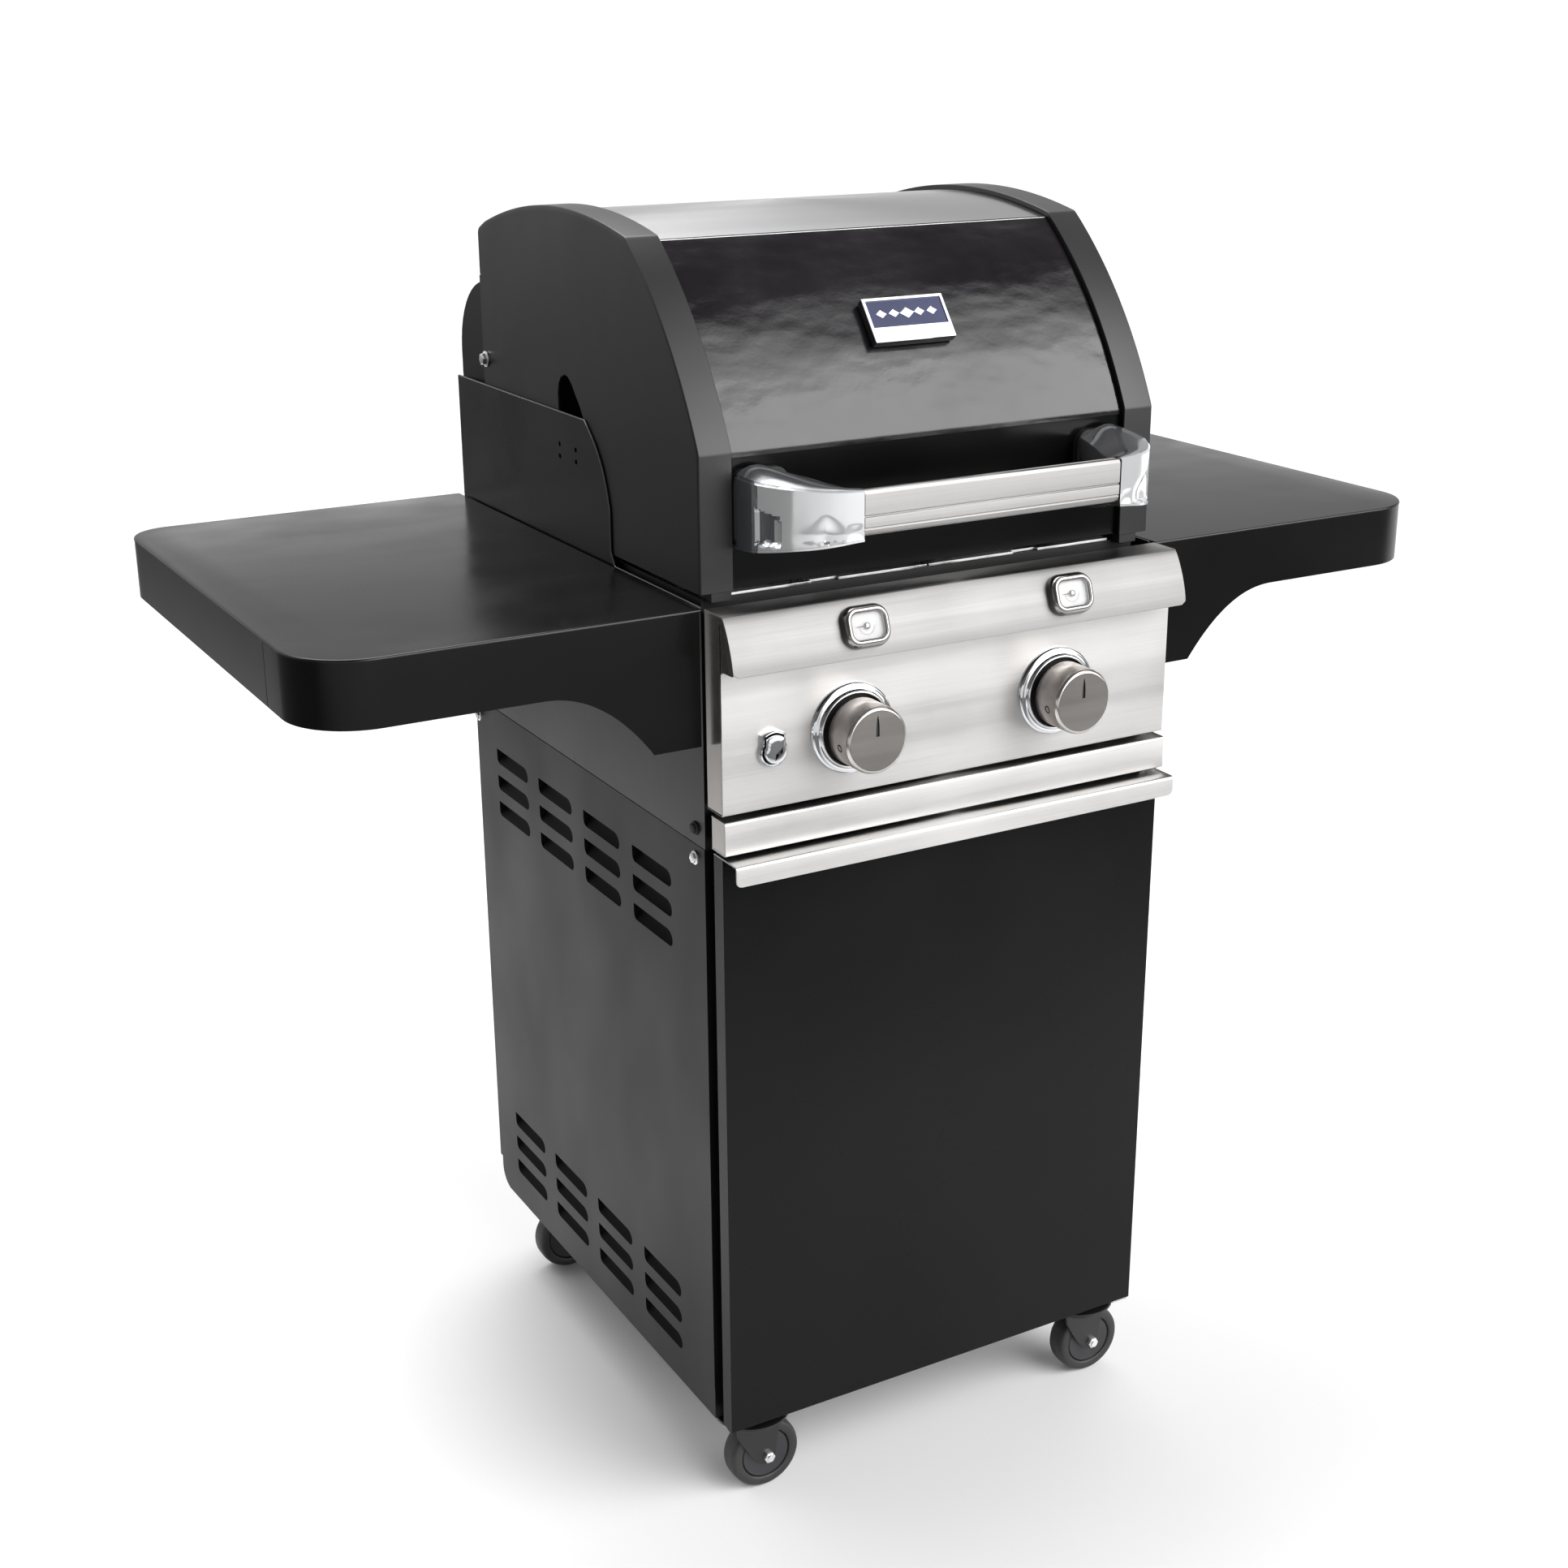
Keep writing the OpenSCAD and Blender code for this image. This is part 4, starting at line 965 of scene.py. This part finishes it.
def handle_bracket(side, tag):
    """A swept arm: a deep foot on the lid that turns and thins to clasp the bar."""
    bm = bmesh.new()
    rows = []
    last = len(ARM) - 1
    for t in [0, 0.5, 1, 1.4, 1.7, 1.9, 2.0] + [2.1 + 0.1 * k for k in range(89)] + [last]:
        fx, fy, bx, by, top, ridge, inner, low = along(ARM, t)
        ahead = along(ARM, min(last, t + 0.05))
        behind = along(ARM, max(0, t - 0.05))
        way = Vector((ahead[0] - behind[0], ahead[1] - behind[1])).normalized()
        inward = Vector((-way.y, way.x))
        if inward.dot(Vector((bx - fx, by - fy))) < 0:
            inward = -inward
        rise = ridge - (inner + (top - inner) * 0.6)
        pts = [(bx, by, inner - 2.0)]
        for w in (0.015, 0.06, 0.14, 0.26, 0.4, 0.55, 0.7, 0.82, 0.91, 0.965):
            pts.append((bx + (fx - bx) * w, by + (fy - by) * w,
                        inner + (top - inner) * w + rise * math.sin(math.pi * w ** 1.36)))

        def face(d, z):
            """A point of the front, pressed in by d."""
            return fx + inward.x * d, fy + inward.y * d, z

        pts.append(face(ARM_LIP, top))
        for k in range(FACE_STEPS + 1):
            z = top - ARM_LIP - (top - ARM_LIP - low - 2.4) * k / FACE_STEPS
            pts.append(face(arm_press(fx, fy, z), z))
        pts += [face(-0.5, low + 2.2), face(-0.5, low + 0.3), face(0.4, low), (bx, by, low),
                (bx, by, low + 1.2)]
        rows.append([bm.verts.new(P(side * x, y, z)) for x, y, z in pts])
    grid_faces(bm, rows, close=True)
    for r in (rows[0], rows[-1]):
        bm.faces.new(r)
    bmesh.ops.recalc_face_normals(bm, faces=bm.faces)
    # the front takes the lighter chrome copy, a painted highlight, but for the walls of the pocket; those and
    # the sides take the darker copy, painted shade
    for f in bm.faces:
        c = f.calc_center_median() / MM
        in_pocket = side * c.x < -196 and 983 < c.z < 1010 and f.normal.z > -0.5
        f.material_index = 0 if f.normal.y < -0.3 and not in_pocket else 1
    from_bm("handle_arm_" + tag, bm, "lid", [M["arm"], M["arm_side"]], nodes=("handle_brackets",), smooth=32)

    def place(u, v, h):
        return P(side * (-183 + u), 34 - h, 1006 + v)

    pad = rr_outline(54, 68, 12)
    loft_piece("handle_gasket_" + tag, [(pad, -6.5), (pad, 1.4), (rr_outline(52.4, 66.4, 11.4), 2.2)],
               place, "lid", M["gasket"])


# ---- casters
TREAD_R, TREAD_HALF = 38, 12
TRAIL = 10              # the axle lies this far beside the swivel's axis
LEG_IN, LEG_OUT = 13.2, 16.2    # the fork's legs, either side of the wheel
# turned parts of a caster: radius, and height or distance along the axle
PLATE = [(0, 94.4), (21, 94.4), (21.5, 93.8), (21.5, 91.2), (24, 90.6), (35.5, 90.4), (37.6, 89.6),
         (38, 88.4), (37.7, 86.9), (36.4, 86.2), (5, 86.2), (5, 78.6), (0, 78.6)]
CROWN = [(5.1, 85.8), (29.0, 85.8), (30.6, 84.6), (31, 82.6), (30.2, 80.2), (28, 79), (5.1, 79), (5.1, 85.8)]
PIN = [(0, -22.2), (3.3, -22.2), (3.8, -21.6), (3.8, 21.6), (3.3, 22.2), (0, 22.2)]
RIM = [(26.6, 9.6), (27.0, 11.2), (28.2, 11.9), (30.5, 12)]
HUB = [(3.95, 11.4), (9, 11.4), (9.6, 10.8), (10.2, 10.2), (22.6, 10.6), (25.0, 10.9), (25.8, 10.2),
       (26.0, 8.2), (26.7, 8.0)]
LEG = fillet([(-23, 83.5), (24, 83.5), (25, 79), (21, 56), (19.6, 41), (18.6, 34), (14, 29.4), (8, 28.6),
              (2, 31), (-9, 43), (-19, 60), (-24, 70), (-25, 79), (-23, 83.5)],
             [0, 2, 6, 20, 6, 5, 4, 4, 5, 10, 12, 8, 3, 0], 4)[:-1]


def mirrored(half):
    """A turned half profile made whole on both sides of the wheel's middle."""
    return [(r, -a) for r, a in half] + [(r, a) for r, a in reversed(half)]


def fork_leg(c, axle, s, fork, tag):
    """One leg of a fork and the axle nut on it, at the near or far side s of the wheel."""
    end = ("near_" if s < 0 else "far_") + tag
    loft_piece("fork_leg_" + end, [(LEG, s * LEG_IN), (LEG, s * LEG_OUT)],
               lambda u, v, h: c + Vector((u, h, v)) * MM, fork, M["fork"], bevel=0.9, seg=3)
    nut = arc(0, 0, 6.2, 0, 360, 6)[:-1]
    loft_piece("axle_nut_" + end,
               [(nut, LEG_OUT), (nut, 20.0), (scaled(nut, 0.86), 20.8), (scaled(nut, 0.55), 20.8)],
               lambda u, v, h: axle + Vector((u, s * h, v)) * MM, fork, M["bright"], bevel=0.4)


def wheel(axle, roller, tag):
    """Tyre and hub, turned about the axle."""
    ax = (0, 1, 0)
    tread = [(TREAD_R - 5.2 * abs(k / 8) ** 3.2, TREAD_HALF * math.sin(k / 8 * math.pi / 2) * 0.999)
             for k in range(-8, 9)]
    whole = mirrored(RIM)
    tyre = whole[:len(RIM)] + tread + whole[len(RIM):] + whole[:1]
    lathe_piece("tyre_" + tag, tyre, axle, ax, roller, M["rubber"], nodes=("wheel_" + tag,), smooth=50)
    hub = mirrored(HUB)
    lathe_piece("hub_" + tag, hub + hub[:1], axle, ax, roller, M["hub"])


def caster_pieces():
    up = (0, 0, 1)
    for sx, tx in SIDES:
        for y, ty in ((36.5, "front"), (514.0, "rear")):
            tag = ty + "_" + tx
            fork = "caster_" + tag
            c = P(sx * 202, y, 0)
            axle = c + Vector((TRAIL, 0, TREAD_R)) * MM
            lathe_piece("caster_plate_" + tag, PLATE, c, up, "cart", M["coat"], steps=64,
                        nodes=("caster_plates",), smooth=40)
            lathe_piece("fork_crown_" + tag, CROWN, c, up, fork, M["fork"], steps=64,
                        nodes=("fork_" + tag,), smooth=40)
            for s in (-1, 1):
                fork_leg(c, axle, s, fork, tag)
            lathe_piece("axle_pin_" + tag, PIN, axle, (0, 1, 0), fork, M["bright"], steps=32, smooth=40)
            wheel(axle, "roller_" + tag, tag)


# ---- shelves
SHELF_END, SHELF_FRONT, SHELF_BACK = -604, 24.5, 590
FRONT_R, BACK_R = 65, 42                # corner radii at the shelf's outer end
SKIRT = 0.4                             # the skirts lie this far inside the shelf's outline
SKIRT_LOW, GUSSET_LOW = 865.0, 800.0    # lower edges of the skirts and of the gusset


def back_corner(inset):
    return arc(SHELF_END + BACK_R, SHELF_BACK - BACK_R, BACK_R - inset, 90, 180, 14)


def front_corner(inset):
    return arc(SHELF_END + FRONT_R, SHELF_FRONT + FRONT_R, FRONT_R - inset, 180, 270, 20)


def shelf_outline(i):
    return (points((-248.0, SHELF_FRONT + i), (-248.0, SHELF_BACK - i)) + back_corner(i)
            + front_corner(i))


def gusset(p):
    """Lower edge of the front band, which drops in a curve to the cart."""
    x = -p.x
    if x >= 400 or p.y > 30:
        return SKIRT_LOW
    if x > 296:
        return SKIRT_LOW - (SKIRT_LOW - GUSSET_LOW) * ((400 - x) / 104) ** 2.2
    return GUSSET_LOW


def shelf_pieces(side, tag):
    def place(u, v, h):
        return P(-side * u, v, h)

    secs = [(shelf_outline(i), h) for i, h in (
        (3.0, 922.2), (0.1, 922.2), (0.0, 923.4), (0.35, 924.3), (1.1, 924.85), (2.0, 925.0))]
    loft_piece("shelf_top_" + tag, secs, place, "cart", M["shelf"], nodes=("shelf_" + tag,), smooth=50)

    # skirts: front band with gusset wraps the corner to a seam, then the side and rear skirt
    def band(name, path, low, nodes=()):
        bm = bmesh.new()
        rows = []
        for p, q in zip(path, shifted(path, 1.4)):
            heights = [922.4, low(p) + 1.0, low(p)]
            rows.append([bm.verts.new(place(p.x, p.y, v)) for v in heights] +
                        [bm.verts.new(place(q.x, q.y, v)) for v in reversed(heights)])
        grid_faces(bm, rows, close=True)
        for r in (rows[0], rows[-1]):
            bm.faces.new(r)
        from_bm(name, bm, "cart", M["band"], nodes=nodes, smooth=30, bevel=0.3)

    x0, y0, y1 = SHELF_END + SKIRT, SHELF_FRONT + SKIRT, SHELF_BACK - SKIRT
    xs = [-249.5, -262, -280, -290, -295.9]
    xs += [-296.1 - 104 * k / 24 for k in range(25)] + [-430, -470, -510]
    front = points(*((x, y0) for x in xs)) + front_corner(SKIRT)[::-1]
    band("shelf_band_front_" + tag, front + points((x0, 110), (x0, 127.6)), gusset,
         nodes=("fascia_" + tag,))
    rear = points((x0, 128.4), (x0, 200), (x0, 400), (x0, 540)) + back_corner(SKIRT)[::-1]
    band("shelf_band_side_" + tag, rear + points((-500, y1), (-380, y1), (-249.5, y1)),
         lambda p: SKIRT_LOW)
    box_piece("shelf_flange_" + tag, (side * 247.4, 60, 866), (side * 248.9, 580, 922), "cart",
              M["band"], bevel=0.3)
    for y in (200, 420):
        box_piece("shelf_rib_%d_%s" % (y, tag), (side * 249, y, 900), (side * 601, y + 1.5, 922.2),
                  "cart", M["band"], bevel=0.3)


# ---- fasteners
def hex_bolt(name, at, out, mat, r, h, washer, nodes):
    """A hexagon head on its washer."""
    q = Vector(out).to_track_quat("Z", "Y").to_matrix()

    def place(u, v, hh):
        return at + q @ Vector((u * MM, v * MM, hh * MM))

    lathe_piece(name + "_washer", [(0, 0), (washer, 0), (washer, 1.2), (washer - 0.6, 1.6), (0, 1.6)],
                at, out, "cart", mat, steps=40, nodes=nodes, slot="zinc", smooth=40)
    head = arc(0, 0, r, 12, 372, 6)[:-1]
    b = 1.4
    loft_piece(name, [(head, b), (head, b + h * 0.8), (scaled(head, 0.88), b + h),
                      (scaled(head, 0.5), b + h + 0.25)],
               place, "cart", mat, nodes=nodes, slot="zinc", bevel=0.4)


EDGE_BEAD = 0.75        # radius of the bead
END_X, END_TOP = 245.0, 1052.5


def end_edge(side, tag):
    """The rounded edge of an upper end panel, a bead in a lighter powder as a painted highlight."""
    start, stop, bulge = Vector((212, 977)), Vector((262, END_TOP)), 9.0
    out = Vector((start.y - stop.y, stop.x - start.x)).normalized()
    bow = [start.lerp(stop, k / 10) + out * bulge * math.sin(math.pi * k / 10) for k in range(11)]
    path = fillet([(32, 924.4), (204, 924.4), (212, 937), (212, 970)], [0, 5, 8, 0], 5) + bow
    path += points((270, END_TOP), (420, END_TOP), (576, END_TOP))
    bm = bmesh.new()
    rows = []
    for k, q in enumerate(path):
        way = (path[min(k + 1, len(path) - 1)] - path[max(k - 1, 0)]).normalized()
        rows.append([])
        for j in range(8):
            a = 2 * math.pi * j / 8
            across = q + Vector((-way.y, way.x)) * EDGE_BEAD * math.sin(a)
            x = END_X + EDGE_BEAD * math.cos(a)
            rows[-1].append(bm.verts.new(P(side * x, across.x, across.y)))
    grid_faces(bm, rows, close=True)
    for r in (rows[0], rows[-1]):
        bm.faces.new(r)
    from_bm("end_edge_" + tag, bm, "cart", M["edge"], smooth=60)


HINGE_Y, HINGE_Z = 501, 1079


def fasteners():
    cheek = points((506, 906), (578, 906)) + arc(HINGE_Y, HINGE_Z, 77, 0, 84, 14) + points((506, 1155.8))
    for side, tag in SIDES:
        out = (side, 0, 0)
        end_edge(side, tag)
        for k, (y, z, mat) in enumerate(((570, 680, "bright"), (49, 715, "gasket"), (50, 686, "bright"))):
            hex_bolt("side_bolt_%s_%d" % (tag, k), P(side * SIDE_X, y, z), out, M[mat], 5.2, 2.6, 6.6,
                     ("cart_bolts",))
        hex_bolt("lid_bolt_" + tag, P(side * 244.0, HINGE_Y, HINGE_Z), out, M["bright"], 6.4, 4.2, 8.0,
                 ("lid_hinge_bolts",))
        box_piece("lid_rest_" + tag, (side * 212, 36, 925.3), (side * 232, 60, 934.1), "cart",
                  M["gasket"], bevel=0.8)
        loft_piece("shield_cheek_" + tag, [(cheek, 238.6), (cheek, 239.8)],
                   lambda u, v, h, side=side: P(side * h, u, v), "cart", M["side"],
                   bevel=0.4)
        for k, (x0, x1, y0) in enumerate(((0.9, 96, 47.4), (96, 124, 52), (124, 206, 47.4))):
            box_piece("firebox_rim_%s_%d" % (tag, k), (side * x0, y0, 927.1), (side * x1, 61.5, 929.5),
                      "cart", M["bright"], bevel=0.3, slot="stainless")
        lathe_piece("lid_bolt_shank_" + tag, [(0, 0), (4, 0), (4, 10), (0, 10)],
                    P(side * 234, HINGE_Y, HINGE_Z), out, "cart", M["bright"], steps=32,
                    nodes=("lid_hinge_bolts",))


# ---- build
make_camera()

STYLE = {
    "base_pan": ("side", 0.4), "rear_panel": ("side", 0.4), "front_rail": ("coat", 0.4),
    "end_panel_left": ("end", 0.7), "end_panel_right": ("end", 0.7), "firebox": ("inside", 0.4),
    "rear_shield": ("side", 0.6), "burners": ("steel_y", 0.3), "emitters": ("steel", 0.4),
    "grates": ("steel_y", 0.8), "warming_rack": ("chrome", 0.0), "rack_legs": ("chrome", 0.0),
    "manifold": ("zinc", 0.4),
    "valve_bodies": ("brass", 0.6), "spark_module": ("plastic", 0.8), "tray_rails": ("zinc", 0.3),
    "door_brackets": ("zinc", 0.3), "drip_pan": ("zinc", 0.4), "door_panel": ("door", 0.8),
    "plunger_left": ("zinc", 0.3), "plunger_right": ("zinc", 0.3),
}
for node, (mat, bevel) in STYLE.items():
    cad_copy(node, M[mat], bevel=bevel)

lid_pieces()
front_pieces()
knob_pieces()
gauge_pieces()
igniter_pieces()
badge_pieces()
handle_pieces()
caster_pieces()
fasteners()
for side, tag in SIDES:
    side_panel(side, tag)
    shelf_pieces(side, tag)

# ---- stage
bm = bmesh.new()
bmesh.ops.create_grid(bm, x_segments=2, y_segments=2, size=14)
me = bpy.data.meshes.new("floor")
bm.to_mesh(me)
bm.free()
floor = bpy.data.objects.new("floor", me)
bpy.context.scene.collection.objects.link(floor)
n = Nodes("floor_pale_painted_dark_far")
split = n.node("ShaderNodeSeparateXYZ")
n.link(n.coord.outputs["Object"], split.inputs[0])
# the floor's colour goes dark far in front and far to the left, out of view: painted shade that dims what the
# door and side panels reflect
fade = n.node("ShaderNodeMath", operation="MULTIPLY")
n.link(n.spread(split.outputs["Y"], 0.03, 1.0, -1.8, -0.78), fade.inputs[0])
slant = n.node("ShaderNodeMath", operation="MULTIPLY_ADD")
n.link(split.outputs["Y"], slant.inputs[0])
slant.inputs[1].default_value = -0.15
n.link(split.outputs["X"], slant.inputs[2])
n.link(n.spread(slant.outputs[0], 0.03, 1.0, -2.0, -0.84), fade.inputs[1])
pale = n.ramp(n.noise(2.0, 3), [(0.3, (0.90, 0.90, 0.90)), (0.7, (0.92, 0.92, 0.92))])
me.materials.append(n.set(base=n.mix(fade.outputs[0], (0.05, 0.05, 0.05), pale), rough=0.75, spec=0.2))

bpy.context.scene.view_settings.view_transform = "Standard"


def studio_world():
    """White behind and above the grill, dim in front of it."""
    world = bpy.data.worlds.new("studio")
    bpy.context.scene.world = world
    world.use_nodes = True
    t = world.node_tree

    def ramp(fac, a, b, lo, hi):
        m = t.nodes.new("ShaderNodeMapRange")
        m.interpolation_type = "SMOOTHSTEP"
        for key, v in (("From Min", a), ("From Max", b), ("To Min", lo), ("To Max", hi)):
            m.inputs[key].default_value = v
        t.links.new(fac, m.inputs["Value"])
        return m.outputs["Result"]

    def math_node(kind, a, b):
        m = t.nodes.new("ShaderNodeMath")
        m.operation = kind
        t.links.new(a, m.inputs[0])
        t.links.new(b, m.inputs[1])
        return m.outputs[0]

    t.nodes["Background"].inputs["Color"].default_value = (1, 1, 1, 1)
    coord = t.nodes.new("ShaderNodeTexCoord")
    xyz = t.nodes.new("ShaderNodeSeparateXYZ")
    t.links.new(coord.outputs["Generated"], xyz.inputs[0])
    base = ramp(xyz.outputs["Y"], -0.2, 0.5, 0.22, 1.05)
    lift = math_node("MULTIPLY", ramp(xyz.outputs["Y"], 0.05, 0.5, 0.0, 1.0),
                     ramp(xyz.outputs["Z"], 0.45, 0.8, 0.0, 2.2))
    aim = t.nodes.new("ShaderNodeVectorMath")
    aim.operation = "DOT_PRODUCT"
    t.links.new(coord.outputs["Generated"], aim.inputs[0])
    aim.inputs[1].default_value = Vector((0.49, -0.79, 0.37)).normalized()
    glow = ramp(aim.outputs["Value"], 0.70, 0.94, 0.0, 4.4)
    lift = math_node("ADD", lift, glow)
    dip = ramp(xyz.outputs["Z"], 0.03, 0.13, 1.0, 0.55)
    strength = math_node("ADD", math_node("MULTIPLY", base, dip), lift)
    t.links.new(strength, t.nodes["Background"].inputs["Strength"])


studio_world()
area("softbox", (1.26, -2.34, 2.45), (0, -0.1, 1.1), 2.2, 1.5, 24)
area("low_card", (-0.8, -2.4, 0.5), (-0.1, -0.3, 0.9), 6.4, 0.85, 11)
area("top", (-0.3, 1.1, 3.2), (-0.1, 0.2, 0), 2.2, 1.6, 45)
